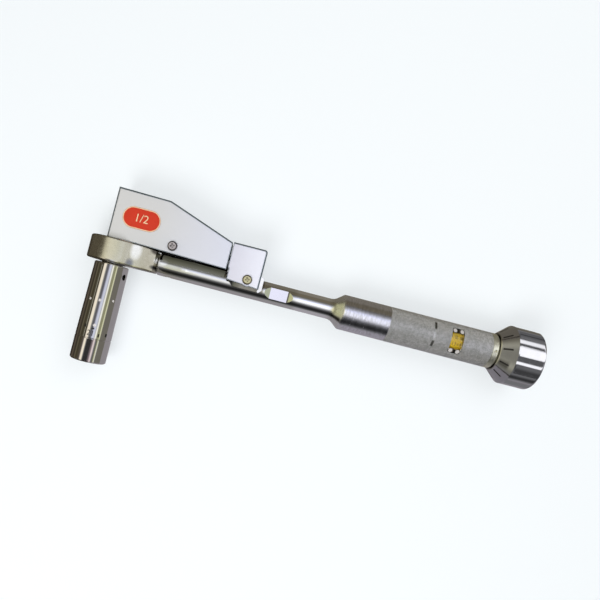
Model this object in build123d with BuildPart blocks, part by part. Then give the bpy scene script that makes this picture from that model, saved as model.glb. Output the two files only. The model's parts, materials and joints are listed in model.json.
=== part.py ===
"""Marking click torque wrench with a half inch ratchet head and a deep socket.

Frame, in millimetres: the origin is the centre of the square drive where it
leaves the head's lower face.  +X runs along the handle, +Y points out of the
head's top face (the socket hangs along -Y), and +Z is the side that carries
the scale window.  The wrench lies on its side, on its knob and its head.
"""
import math
import os

from build123d import *

# ---------------------------------------------------------------- clearances
running_gap = 0.05      # radial gap of a turning or sliding fit
seat_gap = 0.02         # radial gap of a fit that stays put
travel_gap = 0.3        # space that moving pieces keep from one another
end_gap = 0.1           # room at the end of a pin, a screw or a spring
cut_over = 1.0          # how far a cut runs past the metal it opens

# ---------------------------------------------------------------- head and ratchet
head_radius = 21.0
head_height = 18.4
head_edge = 1.4
axis_rise = 7.8         # handle centre-line above the head's lower face
neck_root = 13.0        # where the neck leaves the head's disc
neck_root_width = 32.0
neck_length = 35.5
neck_width = 16.8
neck_slope_start = 26.0  # the top face drops from here to the end of the neck
neck_blend = 9.0
neck_chamfer = 2.4
gear_teeth = 30
gear_tip = 13.5
gear_tooth_depth = 1.3
tooth_tip = 0.25        # half the width of a tooth's tip
tooth_sink = 0.4        # how far a tooth's base reaches into the wheel
gear_bore_gap = 0.6
gear_lift = 0.55        # space under the gear
gear_play = 0.25        # space above the gear
ceiling = 3.3           # metal above the gear's space
plate_radius = 18.9
plate_height = 2.5
plate_screw_ring_radius = 16.4
plate_screw_head = 2.1
plate_screw_radius = 1.1
plate_screw_count = 4
plate_screw_length = 7.0
slot_width = 0.7        # screwdriver slots
slot_depth = 0.5
lower_journal = 10.5
upper_journal = 7.0
drive_square = 12.7
drive_length = 15.5
drive_shoulder = 0.6
drive_corner = 1.0
drive_lead = 0.8
drive_turn = 22.0       # degrees that the square stands turned, from +X toward +Z
plunger_bore_gap = 0.15
pawl_pivot = (22.9, 4.6)   # X and Z of the pawl's pin
pawl_pin_radius = 1.6
pawl_eye = 3.0
pawl_nose = (16.1, -2.6)
pawl_nose_radius = 2.7
pawl_pocket_end = 26.7
pawl_pocket_width = 16.0
pawl_spring_radius = 1.1
pawl_spring_wall = 0.35
pawl_notches = 3
pawl_notch = 1.1
pin_roof = 1.2          # metal over the pawl's pin

# ---------------------------------------------------------------- lever inside the tube
tail_height = 7.2
tail_width = 6.4
mouth_gap = 0.8         # open groove between the neck and the tube
pivot_inset = 9.7       # pivot pin behind the tube's mouth
pivot_radius = 2.5
pivot_inset_ends = 0.3  # the pin's ends lie this far under the tube's surface
tail_reach = 62.0       # from the pivot pin to the lever's end
block_length = 9.0
block_height = 6.0
block_width = 6.4
block_chamfer = 1.0
block_gap = 0.35
lever_foot = 1.0        # how far the lever is rooted in the neck

# ---------------------------------------------------------------- tube and grips
tube_radius = 8.3
tube_wall = 2.0
tube_lead = 0.7
flare_corner = 178.8
flare_run = 7.2
flare_blend = 8.0
flare_round = 2.5
wide_radius = 14.1
spring_bore = 10.9
bore_rest = 2.7         # the wide bore starts this far behind the flare
bore_cone = 4.0
wide_length = 37.2      # bare part of the wide tube, up to the grips
grip_wall = 1.5
front_grip_length = 35.7
grip_seam = 0.35
rear_grip_length = 46.2
flat_centre = 134.3
flat_length = 14.0
flat_depth = 1.3
flat_end_slope = 5.2
flat_over = 0.2         # the end slopes are drawn this far above the tube
window_inset = 17.75     # window's centre behind the front of the rear grip
window_length = 9.8
window_height = 19.6
scale_opening = 12.8    # height of the smaller opening in the tube under it
window_corner = 1.6
lens_inset = 0.3
lens_thick = 0.9
window_pin_radius = 1.5
window_pin_inset = 2.1  # pin centres inside the window's edges, along X
window_pin_rise = 1.8   # and along Y
window_pin_sink = 0.05

# ---------------------------------------------------------------- spring and setting train
rod_radius = 5.6
rod_lead = 0.8
seat_flange = 5.5
seat_travel = 0.9       # room that the spring seat has in front of it
spring_wire = 3.2
spring_turns = 9
spring_length = 49.0
nut_length = 12.0
screw_radius = 4.5
nut_travel = 8.0        # each way from the stored setting
screw_reach = 3.0       # screw past the nut at the end of its travel
screw_lead = 1.0
screw_shoulder = 3.5
screw_shoulder_radius = 7.5
scale_length = 28.0
scale_thick = 0.8
scale_cover = 1.0       # scale past the window at the end of the travel
scale_edge = 2.0        # the scale starts this far in front of the handle's middle plane
washer_thick = 1.3
washer_radius = 8.5
collar_thread = 6.0
collar_band = 4.3       # polished band as wide as the grip
collar_step = 5.1       # the bevel behind the band ends this far behind the grip
collar_edge = 1.0
index_dot_inset = 2.5   # centre of the index dot behind the grip
index_dot_radius = 0.8
collar_nose = 13.0      # radius that enters the knob
collar_reach = 13.0
shaft_radius = 5.0
key_length = 30.0
key_front_gap = 2.0     # key in front of the nut at the end of its travel
key_width = 3.0
key_depth = 1.4         # how far the key stands into the bore
key_sink = 0.7          # how far it is let into the tube
key_gap = 0.2

# ---------------------------------------------------------------- knob
knob_gap = 5.4          # from the grip's end to the knob's front edge
knob_mouth = 14.8
knob_lip = 0.9
knob_radius = 23.5
cone_length = 10.1
cone_band = 1.0
knob_body = 22.1
knob_round = 2.6        # rounding of the rear rim
mouth_depth = 11.0
flute_count = 10
flute_first = 11.5      # degrees from +Z towards +Y
flute_radius = 18.0
flute_depth = 0.8
cap_radius = 14.0
cap_thick = 2.0
cap_edge = 0.5
knob_bolt_radius = 2.5
knob_bolt_head = 4.4
knob_bolt_head_height = 5.0
knob_bolt_socket = 2.0  # half the key size of its hexagon
knob_bolt_socket_depth = 3.0
hub_square = 7.0
hub_roof = 4.0          # knob between the screw's end and the bolt's head
hub_gap = 0.1
bolt_hole_start = 2.0   # threaded hole starts this far inside the screw's square

# ---------------------------------------------------------------- covers over the marking gear
cover_half_width = 15.0
sheet = 1.0
sheet_bend = 1.6
cover_front = -6.6
cover_rise_front = 58.2
cover_bend = 35.3
cover_rise_bend = 57.3
cover_rear = 89.3
cover_rise_rear = 38.2
cover_foot_rear = 16.7
cover_foot_front = 18.2  # where the sloping foot line starts, along X
cover_screw = (44.7, 23.6)
cover_screw_head = 3.75
cover_screw_radius = 2.0
cover_screw_shank = 3.6
screw_head_height = 2.2
screw_head_round = 1.1
cross_turn = 20.0       # degrees that the cross recess is turned
cross_size = 3.6
cross_width = 1.1
cross_depth = 1.2
cover_split = 1.0
end_cover_rear = 117.5
end_cover_rise = 38.8
end_cover_foot = 9.4
end_cover_foot_fall = 1.9  # the flap's lower edge falls this much to the rear
end_cover_step = 1.0    # the flap's lower part starts this far behind its front edge
end_cover_foot_rise = 1.5
end_cover_corner = 2.3
end_screw = (107.2, 12.8)
end_screw_shank = 5.0
end_screw_hole = 5.2
end_ear = 5.2
label_centre = (16.5, 37.7)
label_length = 29.9
label_height = 16.6
label_thick = 0.35

# ---------------------------------------------------------------- bracket, rocker and cam
bracket_sheet = 1.6
bracket_base_rear = 25.0
bracket_arm_rear = 67.0
bracket_arm_over = 3.9   # metal above the rocker's pin
bracket_screw_radius = 1.25
bracket_screw_head = 2.3
bracket_screw_head_height = 1.8
bracket_cross = 3.0
bracket_cross_depth = 0.9
bracket_screw_gap = 0.1  # between a screw's head and the bracket's wall
bracket_screw_row = 20.0  # the second pair of screws behind the first
bracket_screw_inset = 0.8  # and nearer the middle
guide_radius = 5.4
guide_height = 6.0
guide_neck = 1.5        # the bush's shank is this much thinner than its flange
guide_flange_height = 1.5
guide_spring_seat = 1.8
rocker_pivot = (60.0, 32.0)
rocker_rear = 20.0
rocker_thick = 5.0
rocker_nose = 3.0
rocker_nose_rise = 6.0
rocker_pin_radius = 2.0
rocker_eye = 5.0
roller_radius = 3.5
roller_width = 4.0
roller_drop = 1.5       # roller centre below the rocker's pivot
roller_pin_radius = 1.2
roller_pin_hold = 4.0   # how far the pin reaches into the rocker
roller_pin_head = 2.1
roller_pin_head_thick = 0.9
roller_edge = 0.4
roller_arm = 2.2        # radius of the rocker's rear end
saddle_front = 93.0
saddle_rear = 120.0
saddle_foot = 5.2
saddle_top = 22.0
saddle_slope = 4.0
saddle_step = 4.0       # drop behind the end cover
saddle_rear_drop = 5.0
saddle_rear_slope = 2.0
saddle_screw_places = [99.5, 112.5]
saddle_screw_radius = 2.0
saddle_screw_head = 3.5
saddle_screw_head_height = 4.0
saddle_screw_socket = 1.6
saddle_screw_socket_depth = 2.2
saddle_screw_sink = 0.5  # screws reach this far through the tube's wall
cam_plate_front = 74.0
cam_plate_thick = 2.0
cam_plate_width = 13.0
cam_rise = 7.0
cam_crest = 2.1
cam_margin = 1.0        # ramp wider than the roller, each side
cam_rear_gap = 2.0      # plate in front of the cover's rear wall

# ---------------------------------------------------------------- plunger, marker and socket
plunger_radius = 2.5
plunger_cap_radius = 4.5
plunger_cap_height = 3.5
plunger_gap = 0.2
plunger_lead = 0.5
plunger_cap_edge = 0.6
plunger_end = -17.0
return_wire = 0.8
return_turns = 5
coil_gap = 0.05         # space at each end of a small coil
coil_side = 0.1         # space between a small coil and what it winds round
socket_gap = 1.4        # the socket's top below the head
socket_length = 79.0
socket_top_radius = 13.7
socket_foot_radius = 14.4
socket_top_edge = 0.8
socket_foot_edge = 0.9
socket_belt = 18.3      # straight part at the socket's foot
socket_ring_width = 1.1  # groove above it
socket_ring_depth = 0.3
square_gap = 0.1
square_depth = 15.2
chamber_radius = 7.5
hex_size = 21.0
hex_depth = 30.0
hex_lead = 1.0
detent_drop = 8.0       # detent hole below the socket's top
detent_hole = 2.4
detent_floor = 0.7      # metal between the detent's pocket and the plunger
detent_spring_radius = 1.2
detent_spring_bore = 0.7
ball_radius = 1.6
ball_stand = 0.45       # how far the ball stands out of the drive
marker_gap = 0.3
marker_flange = 7.2
marker_flange_height = 3.0
marker_flange_edge = 0.5
marker_radius = 5.0
marker_length = 27.0
marker_tip_radius = 2.4
marker_tip_length = 9.0
marker_point = 1.5      # length of the tip's cone
marker_point_step = 1.0
marker_wire = 0.9
marker_turns = 5
bush_length = 10.0

# ---------------------------------------------------------------- motion
click_angle = 1.5       # degrees that the head swings when it trips
rocker_angle = 4.0      # degrees that the rocker then turns

# ---------------------------------------------------------------- places worked out from the sizes
tube_bore = tube_radius - tube_wall
tube_front = neck_length + mouth_gap
pivot_x = tube_front + pivot_inset
tail_end = pivot_x + tail_reach
block_front = tail_end + block_gap
block_rear = block_front + block_length
flare_end = flare_corner + flare_run
spigot_radius = wide_radius - grip_wall
grip_start = flare_end + wide_length
bore_step = flare_end + bore_rest
seat_front = bore_step + seat_travel
seat_rear = seat_front + seat_flange
nut_front = seat_rear + spring_length
nut_rear = nut_front + nut_length
key_front = nut_front - nut_travel - key_front_gap
front_grip_end = grip_start + front_grip_length
rear_grip_start = front_grip_end + grip_seam
window_centre = rear_grip_start + window_inset
grip_end = rear_grip_start + rear_grip_length
tube_rear = grip_end
collar_front = tube_rear - collar_thread
washer_front = collar_front - washer_thick
shoulder_front = washer_front - screw_shoulder
knob_front = grip_end + knob_gap
cone_rear = knob_front + cone_length
flute_start = cone_rear + cone_band
knob_rear = cone_rear + knob_body
mouth_floor = knob_front + mouth_depth
bolt_seat = knob_rear - cap_thick - knob_bolt_head_height
cavity_top = head_height - ceiling
gear_foot = plate_height + gear_lift
gear_height = cavity_top - gear_play - gear_foot
cavity_radius = gear_tip + gear_bore_gap
gear_root = gear_tip - gear_tooth_depth
drive_end = -drive_shoulder - drive_length
cover_side = cover_half_width - sheet
bracket_side = cover_side - seat_gap
bracket_arm_top = rocker_pivot[1] + bracket_arm_over
bracket_screw_side = bracket_side - bracket_sheet - bracket_screw_head - bracket_screw_gap
bracket_screw_places = [
    (0, bracket_screw_side),
    (0, -bracket_screw_side),
    (bracket_screw_row, bracket_screw_side - bracket_screw_inset),
    (bracket_screw_row, bracket_screw_inset - bracket_screw_side),
]
end_cover_front = cover_rear + cover_split
window_pin_pitch_x = window_length - 2 * window_pin_inset
window_pin_pitch_y = window_height - 2 * window_pin_rise
guide_seat = head_height + bracket_sheet
guide_top = guide_seat + guide_height
rocker_nose_y = rocker_pivot[1] + rocker_nose_rise
cap_top = rocker_nose_y - rocker_nose - plunger_gap
cap_foot = cap_top - plunger_cap_height
roller_x = rocker_pivot[0] + rocker_rear
roller_y = rocker_pivot[1] - roller_drop
roller_front = roller_x - roller_width / 2
cam_shift = (roller_x - pivot_x) * math.sin(math.radians(click_angle))
cam_lift = rocker_rear * math.sin(math.radians(rocker_angle))
cam_slope = math.atan2(cam_lift, cam_shift)
socket_top = -socket_gap
socket_foot = socket_top - socket_length
square_floor = socket_top - square_depth
hex_roof = socket_foot + hex_depth
ring_foot = socket_foot + socket_belt
ring_top = ring_foot + socket_ring_width
ring_radius = socket_foot_radius - socket_ring_depth
marker_top = plunger_end - marker_gap
marker_body_top = marker_top - marker_flange_height
marker_body_end = marker_body_top - marker_length
marker_tip_end = marker_body_end - marker_tip_length
bush_foot = hex_roof
bush_top = bush_foot + bush_length

handle_axis = Axis((0, axis_rise, 0), (1, 0, 0))
handle_side = Plane(origin=(0, axis_rise, 0), x_dir=(1, 0, 0), z_dir=(0, 0, 1))
drive_axis = Axis((0, 0, 0), (0, 1, 0))
detent_aim = Vector(1, 0, 0).rotate(drive_axis, -drive_turn)


def deck(height):
    """Level plane at a height along Y; its normal is +Y, local x is X and local y is -Z."""
    return Plane(origin=(0, height, 0), x_dir=(1, 0, 0), z_dir=(0, 1, 0))


def cross(x):
    """Plane across the handle; its normal is +X, local x is Y from the centre-line, local y is Z."""
    return Plane(origin=(x, axis_rise, 0), x_dir=(0, 1, 0), z_dir=(1, 0, 0))


def side(z):
    """Side plane at a place along Z; local x is X and local y is Y."""
    return Plane.XY.offset(z)


def outline(points, plane):
    """Flat face on a plane, bounded by straight lines through the points."""
    with BuildSketch(plane) as face:
        with BuildLine():
            Polyline(*points, close=True)
        make_face()
    return face.sketch


def turned(points):
    """Face of (x, radius) points about the handle's centre-line, ready to revolve."""
    return outline(points, handle_side)


def upright(points):
    """Face of (radius, y) points about the drive axis, ready to revolve."""
    return outline(points, Plane.XY)


def coil(radius, length, turns, start, along, across):
    """Coil of half turns, each two arcs with a common tangent, from start towards along."""
    base = Vector(*start)
    ahead = Vector(*along).normalized()
    first = Vector(*across).normalized()
    second = ahead.cross(first)
    rise = length / (turns * 2 * math.pi)

    def point(angle):
        spoke = first * math.cos(angle) + second * math.sin(angle)
        return base + spoke * radius + ahead * (rise * angle)

    def tangent(angle):
        spoke = second * math.cos(angle) - first * math.sin(angle)
        return (spoke * radius + ahead * rise).normalized()

    arcs = []
    for half in range(2 * turns):
        begin, end = point(half * math.pi), point((half + 1) * math.pi)
        leave, arrive = tangent(half * math.pi), tangent((half + 1) * math.pi)
        chord = end - begin
        both = leave + arrive
        spread = 2 * (1 - leave.dot(arrive))
        lean = chord.dot(both)
        reach = (math.sqrt(lean**2 + spread * chord.dot(chord)) - lean) / spread
        middle = (begin + end + (leave - arrive) * reach) * 0.5
        arcs.append(TangentArc(begin, middle, tangent=leave, mode=Mode.PRIVATE))
        arcs.append(TangentArc(middle, end, tangent=arcs[-1] % 1, mode=Mode.PRIVATE))
    return Wire(arcs)


def print_coil_gap(name, line, turns, wire):
    """Print a coil's least gap to itself, from points a half turn or more apart along it."""
    per_turn = 72
    points = [line @ (i / (turns * per_turn)) for i in range(turns * per_turn + 1)]
    gap = min(
        (a - b).length
        for i, a in enumerate(points)
        for b in points[i + per_turn // 2 : i + 2 * per_turn]
    )
    print(name, "least gap", round(gap - wire, 2))


os.makedirs("parts", exist_ok=True)
pieces = []


def keep(builder, name):
    """Label a finished piece and write it as its own STEP file."""
    builder.part.label = name
    export_step(builder.part, f"parts/{name}.step")
    pieces.append(builder.part)


# ================================================================ head and ratchet
with BuildPart() as ratchet_head:
    # Round head and the neck that narrows toward the tube.
    with BuildSketch(deck(0)) as plan:
        Circle(head_radius)
        with BuildLine():
            Polyline(
                (neck_root, neck_root_width / 2),
                (neck_length, neck_width / 2),
                (neck_length, -neck_width / 2),
                (neck_root, -neck_root_width / 2),
                close=True,
            )
        make_face()
        fillet(plan.vertices().sort_by(Axis.X)[:2], neck_blend)
        chamfer(plan.vertices().group_by(Axis.X)[-1], neck_chamfer)
    extrude(amount=head_height)
    fillet(ratchet_head.faces().filter_by(Axis.Y).edges(), head_edge)
    # The neck's top face falls to the height of the tube.
    drop = [
        (neck_slope_start, head_height),
        (neck_length + cut_over, axis_rise + tube_radius),
        (neck_length + cut_over, head_height + cut_over),
        (neck_slope_start, head_height + cut_over),
    ]
    extrude(outline(drop, Plane.XY), amount=neck_root_width, both=True, mode=Mode.SUBTRACT)
    # Lever that reaches down the tube past the pivot pin.
    with BuildSketch(cross(neck_length - lever_foot)):
        Rectangle(tail_height, tail_width)
    extrude(amount=tail_end - neck_length + lever_foot)
    # Space for the gear, with a shallow seat for the plate that closes it.
    with BuildSketch(deck(0)):
        Circle(plate_radius + seat_gap)
    extrude(amount=plate_height, mode=Mode.SUBTRACT)
    with BuildSketch(deck(plate_height)):
        Circle(cavity_radius)
        with Locations((0, 0)):
            Rectangle(pawl_pocket_end, pawl_pocket_width, align=(Align.MIN, Align.CENTER))
    extrude(amount=cavity_top - plate_height, mode=Mode.SUBTRACT)
    with BuildSketch(deck(cavity_top)):
        Circle(upper_journal + running_gap)
    extrude(amount=ceiling, mode=Mode.SUBTRACT)
    # Pawl pin, plate screws and bracket screws.
    with BuildSketch(deck(plate_height)):
        with Locations((pawl_pivot[0], -pawl_pivot[1])):
            Circle(pawl_pin_radius)
    extrude(amount=head_height - pin_roof - plate_height, mode=Mode.SUBTRACT)
    with BuildSketch(deck(0)):
        with PolarLocations(plate_screw_ring_radius, plate_screw_count, start_angle=45):
            Circle(plate_screw_radius)
    extrude(amount=plate_screw_length + end_gap, mode=Mode.SUBTRACT)
    with BuildSketch(deck(head_height)):
        with Locations(*bracket_screw_places):
            Circle(bracket_screw_radius)
    extrude(amount=-ceiling, mode=Mode.SUBTRACT)
    # Pivot hole through the lever.
    with BuildSketch(deck(axis_rise - tail_height)):
        with Locations((pivot_x, 0)):
            Circle(pivot_radius + running_gap)
    extrude(amount=2 * tail_height, mode=Mode.SUBTRACT)
keep(ratchet_head, "ratchet_head")

with BuildPart() as drive_gear:
    # Toothed wheel with a journal above and below.
    with BuildSketch(deck(gear_foot)):
        Circle(gear_root)
        half_tooth = math.pi * gear_root / gear_teeth
        with PolarLocations(gear_root - tooth_sink, gear_teeth):
            Polygon(
                (0, half_tooth),
                (0, -half_tooth),
                (gear_tooth_depth + tooth_sink, -tooth_tip),
                (gear_tooth_depth + tooth_sink, tooth_tip),
                align=None,
            )
    extrude(amount=gear_height)
    with BuildSketch(deck(-drive_shoulder)):
        Circle(lower_journal)
    extrude(amount=drive_shoulder + gear_foot)
    with BuildSketch(deck(gear_foot + gear_height)):
        Circle(upper_journal)
    extrude(amount=head_height - end_gap - gear_foot - gear_height)
    # Square drive with bevelled corners, bored for the plunger.
    with BuildSketch(deck(-drive_shoulder)):
        RectangleRounded(drive_square, drive_square, drive_corner, rotation=-drive_turn)
    extrude(amount=-drive_length)
    chamfer(drive_gear.faces().sort_by(Axis.Y)[0].edges(), drive_lead)
    with BuildSketch(deck(drive_end - cut_over)):
        Circle(plunger_radius + plunger_bore_gap)
    extrude(amount=head_height - drive_end + 2 * cut_over, mode=Mode.SUBTRACT)
    # Pocket for the detent ball and its spring, in the face nearest the handle.
    detent_level = Vector(0, socket_top - detent_drop, 0)
    ball_centre = drive_square / 2 + ball_stand - ball_radius
    with BuildSketch(Plane(origin=detent_level + detent_aim * (drive_square / 2), z_dir=-detent_aim)):
        Circle(ball_radius + running_gap)
    extrude(amount=drive_square / 2 - plunger_radius - detent_floor, mode=Mode.SUBTRACT)
keep(drive_gear, "drive_gear")

with BuildPart() as detent_ball:
    with Locations(detent_level + detent_aim * ball_centre):
        Sphere(ball_radius)
keep(detent_ball, "detent_ball")

with BuildPart() as detent_spring:
    spring_floor = plunger_radius + detent_floor
    ball_seat = ball_centre - math.sqrt(ball_radius**2 - detent_spring_bore**2)
    with BuildSketch(Plane(origin=detent_level + detent_aim * spring_floor, z_dir=detent_aim)):
        Circle(detent_spring_radius)
        Circle(detent_spring_bore, mode=Mode.SUBTRACT)
    extrude(amount=ball_seat - spring_floor - seat_gap)
keep(detent_spring, "detent_spring")

with BuildPart() as head_plate:
    with BuildSketch(deck(0)):
        Circle(plate_radius)
        Circle(lower_journal + running_gap, mode=Mode.SUBTRACT)
    extrude(amount=plate_height)
    with Locations(deck(0)):
        with PolarLocations(plate_screw_ring_radius, plate_screw_count, start_angle=45):
            with Locations(Rotation(180, 0, 0)):
                CounterSinkHole(plate_screw_radius + seat_gap, plate_screw_head + end_gap, plate_height)
keep(head_plate, "head_plate")

with BuildPart() as head_plate_screws:
    with Locations(deck(0)):
        with PolarLocations(plate_screw_ring_radius, plate_screw_count, start_angle=45):
            Cone(
                plate_screw_head,
                plate_screw_radius,
                plate_screw_head - plate_screw_radius,
                align=(Align.CENTER, Align.CENTER, Align.MIN),
            )
            Cylinder(
                plate_screw_radius - seat_gap,
                plate_screw_length,
                align=(Align.CENTER, Align.CENTER, Align.MIN),
            )
            Box(
                slot_width,
                2 * plate_screw_head,
                slot_depth,
                align=(Align.CENTER, Align.CENTER, Align.MIN),
                mode=Mode.SUBTRACT,
            )
keep(head_plate_screws, "head_plate_screws")

with BuildPart() as pawl:
    with BuildSketch(deck(gear_foot)) as pawl_plan:
        with Locations((pawl_pivot[0], -pawl_pivot[1])):
            Circle(pawl_eye)
        with Locations((pawl_nose[0], -pawl_nose[1])):
            Circle(pawl_nose_radius)
        make_hull()
        with Locations((pawl_pivot[0], -pawl_pivot[1])):
            Circle(pawl_pin_radius + running_gap, mode=Mode.SUBTRACT)
        Circle(gear_tip + travel_gap, mode=Mode.SUBTRACT)
        # Notches that match the gear's pitch.
        nose_angle = math.degrees(math.atan2(-pawl_nose[1], pawl_nose[0]))
        tooth_angle = 360 / gear_teeth
        first_notch = nose_angle - tooth_angle * (pawl_notches - 1) / 2
        with PolarLocations(gear_tip + travel_gap, pawl_notches, first_notch, pawl_notches * tooth_angle):
            Rectangle(pawl_notch, pawl_notch, rotation=45, mode=Mode.SUBTRACT)
    extrude(amount=gear_height)
keep(pawl, "pawl")

with BuildPart() as pawl_pin:
    with BuildSketch(deck(plate_height + end_gap)):
        with Locations((pawl_pivot[0], -pawl_pivot[1])):
            Circle(pawl_pin_radius - seat_gap)
    extrude(amount=head_height - pin_roof - plate_height - end_gap)
keep(pawl_pin, "pawl_pin")

with BuildPart() as pawl_spring:
    # It starts clear of the pawl's long side, which runs from the nose to the eye.
    lean = math.atan2(pawl_pivot[1] - pawl_nose[1], pawl_pivot[0] - pawl_nose[0])
    side_x = pawl_nose[0] + pawl_eye * math.sin(lean)
    side_z = pawl_nose[1] - pawl_eye * math.cos(lean)
    spring_z = pawl_nose[1]
    spring_start = side_x + (spring_z + pawl_spring_radius - side_z) / math.tan(lean)
    spring_place = (spring_start, gear_foot + gear_height / 2, spring_z)
    with BuildSketch(Plane(origin=spring_place, z_dir=(1, 0, 0))):
        Circle(pawl_spring_radius)
        Circle(pawl_spring_radius - pawl_spring_wall, mode=Mode.SUBTRACT)
    extrude(amount=pawl_pocket_end - spring_start - end_gap)
keep(pawl_spring, "pawl_spring")

with BuildPart() as pivot_pin:
    with BuildSketch(deck(axis_rise - tube_radius + pivot_inset_ends)):
        with Locations((pivot_x, 0)):
            Circle(pivot_radius - seat_gap)
    extrude(amount=2 * (tube_radius - pivot_inset_ends))
    chamfer(pivot_pin.edges().filter_by(GeomType.CIRCLE), pivot_inset_ends)
keep(pivot_pin, "pivot_pin")

# ================================================================ tube and grips
with BuildPart() as main_tube:
    # Narrow front, flare, wide middle and the reduced spigot under the grips.
    with BuildSketch(handle_side) as tube_wall_face:
        with BuildLine():
            Polyline(
                (tube_front, tube_bore),
                (tube_front, tube_radius),
                (flare_corner, tube_radius),
                (flare_end, wide_radius),
                (grip_start, wide_radius),
                (grip_start, spigot_radius),
                (tube_rear, spigot_radius),
                (tube_rear, spring_bore),
                (bore_step, spring_bore),
                (bore_step - bore_cone, tube_bore),
                close=True,
            )
        make_face()
        inner_corner = tube_wall_face.vertices().sort_by_distance((flare_corner, tube_radius))[0]
        fillet(inner_corner, flare_blend)
        outer_corner = tube_wall_face.vertices().sort_by_distance((flare_end, wide_radius))[0]
        fillet(outer_corner, flare_round)
        chamfer(tube_wall_face.vertices().sort_by_distance((tube_front, tube_radius))[0], tube_lead)
    revolve(axis=handle_axis)
    # Shallow flat with sloping ends on the scale side.
    flat_floor = tube_radius - flat_depth
    flat = [
        (flat_centre - flat_length / 2 - flat_end_slope, tube_radius + flat_over),
        (flat_centre - flat_length / 2, flat_floor),
        (flat_centre + flat_length / 2, flat_floor),
        (flat_centre + flat_length / 2 + flat_end_slope, tube_radius + flat_over),
    ]
    flat_face = outline([(x, -z) for x, z in flat], deck(axis_rise))
    extrude(flat_face, amount=tube_radius, both=True, mode=Mode.SUBTRACT)
    # Pivot pin, saddle screws and the scale window.
    with BuildSketch(deck(axis_rise - tube_radius - cut_over)):
        with Locations((pivot_x, 0)):
            Circle(pivot_radius)
    extrude(amount=2 * (tube_radius + cut_over), mode=Mode.SUBTRACT)
    with BuildSketch(deck(axis_rise + tube_bore - saddle_screw_sink)):
        with Locations(*[(x, 0) for x in saddle_screw_places]):
            Circle(saddle_screw_radius)
    extrude(amount=tube_wall + cut_over, mode=Mode.SUBTRACT)
    with BuildSketch(Plane(origin=(window_centre, axis_rise, 0))):
        RectangleRounded(window_length, scale_opening, window_corner)
    extrude(amount=wide_radius + cut_over, mode=Mode.SUBTRACT)
    # Keyway on the socket side of the bore.
    with BuildSketch(cross(key_front)):
        with Locations((-spring_bore, 0)):
            Rectangle(2 * key_sink, key_width + 2 * seat_gap)
    extrude(amount=key_length, mode=Mode.SUBTRACT)
keep(main_tube, "main_tube")

with BuildPart() as front_grip:
    revolve(
        turned([
            (grip_start + seat_gap, spigot_radius + seat_gap),
            (grip_start + seat_gap, wide_radius),
            (front_grip_end, wide_radius),
            (front_grip_end, spigot_radius + seat_gap),
        ]),
        axis=handle_axis,
    )
keep(front_grip, "front_grip")

with BuildPart() as rear_grip:
    revolve(
        turned([
            (rear_grip_start, spigot_radius + seat_gap),
            (rear_grip_start, wide_radius),
            (grip_end, wide_radius),
            (grip_end, spigot_radius + seat_gap),
        ]),
        axis=handle_axis,
    )
    with BuildSketch(Plane(origin=(window_centre, axis_rise, 0))):
        RectangleRounded(window_length, window_height, window_corner)
    extrude(amount=wide_radius + cut_over, mode=Mode.SUBTRACT)
keep(rear_grip, "rear_grip")

with BuildPart() as window_lens:
    lens_outer = wide_radius - lens_inset
    revolve(
        turned([
            (window_centre - window_length / 2 + seat_gap, lens_outer - lens_thick),
            (window_centre - window_length / 2 + seat_gap, lens_outer),
            (window_centre + window_length / 2 - seat_gap, lens_outer),
            (window_centre + window_length / 2 - seat_gap, lens_outer - lens_thick),
        ]),
        axis=handle_axis,
    )
    with BuildSketch(Plane(origin=(window_centre, axis_rise, 0))):
        RectangleRounded(
            window_length - 2 * seat_gap,
            window_height - 2 * seat_gap,
            window_corner - seat_gap,
        )
        with GridLocations(window_pin_pitch_x, window_pin_pitch_y, 2, 2):
            Circle(window_pin_radius + seat_gap, mode=Mode.SUBTRACT)
    extrude(amount=wide_radius, mode=Mode.INTERSECT)
keep(window_lens, "window_lens")

with BuildPart() as window_pins:
    # Round studs at the lens's corners, seated on the tube under the grip.
    with BuildSketch(Plane(origin=(window_centre, axis_rise, 0))):
        with GridLocations(window_pin_pitch_x, window_pin_pitch_y, 2, 2):
            Circle(window_pin_radius)
    extrude(amount=wide_radius)
    pin_shell = turned([
        (window_centre - window_length, spigot_radius + seat_gap),
        (window_centre - window_length, wide_radius - window_pin_sink),
        (window_centre + window_length, wide_radius - window_pin_sink),
        (window_centre + window_length, spigot_radius + seat_gap),
    ])
    revolve(pin_shell, axis=handle_axis, mode=Mode.INTERSECT)
keep(window_pins, "window_pins")

with BuildPart() as index_collar:
    # Threaded bush that closes the tube, with a polished band and a nose inside the knob.
    revolve(
        turned([
            (collar_front, shaft_radius + running_gap),
            (collar_front, spring_bore - seat_gap),
            (grip_end + seat_gap, spring_bore - seat_gap),
            (grip_end + seat_gap, wide_radius),
            (grip_end + collar_band, wide_radius),
            (grip_end + collar_step, collar_nose),
            (grip_end + collar_reach, collar_nose),
            (grip_end + collar_reach, shaft_radius + running_gap),
        ]),
        axis=handle_axis,
    )
    band_rims = index_collar.edges().filter_by(GeomType.CIRCLE).group_by(SortBy.RADIUS)[-1]
    fillet(band_rims.sort_by(Axis.X)[-1], collar_edge)
    with Locations((grip_end + index_dot_inset, axis_rise, wide_radius)):
        Sphere(index_dot_radius, mode=Mode.SUBTRACT)
keep(index_collar, "index_collar")

with BuildPart() as guide_key:
    with BuildSketch(cross(key_front + seat_gap)):
        with Locations((-spring_bore - key_sink + seat_gap, 0)):
            Rectangle(key_depth + key_sink, key_width, align=(Align.MIN, Align.CENTER))
    extrude(amount=key_length - 2 * seat_gap)
keep(guide_key, "guide_key")

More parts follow.
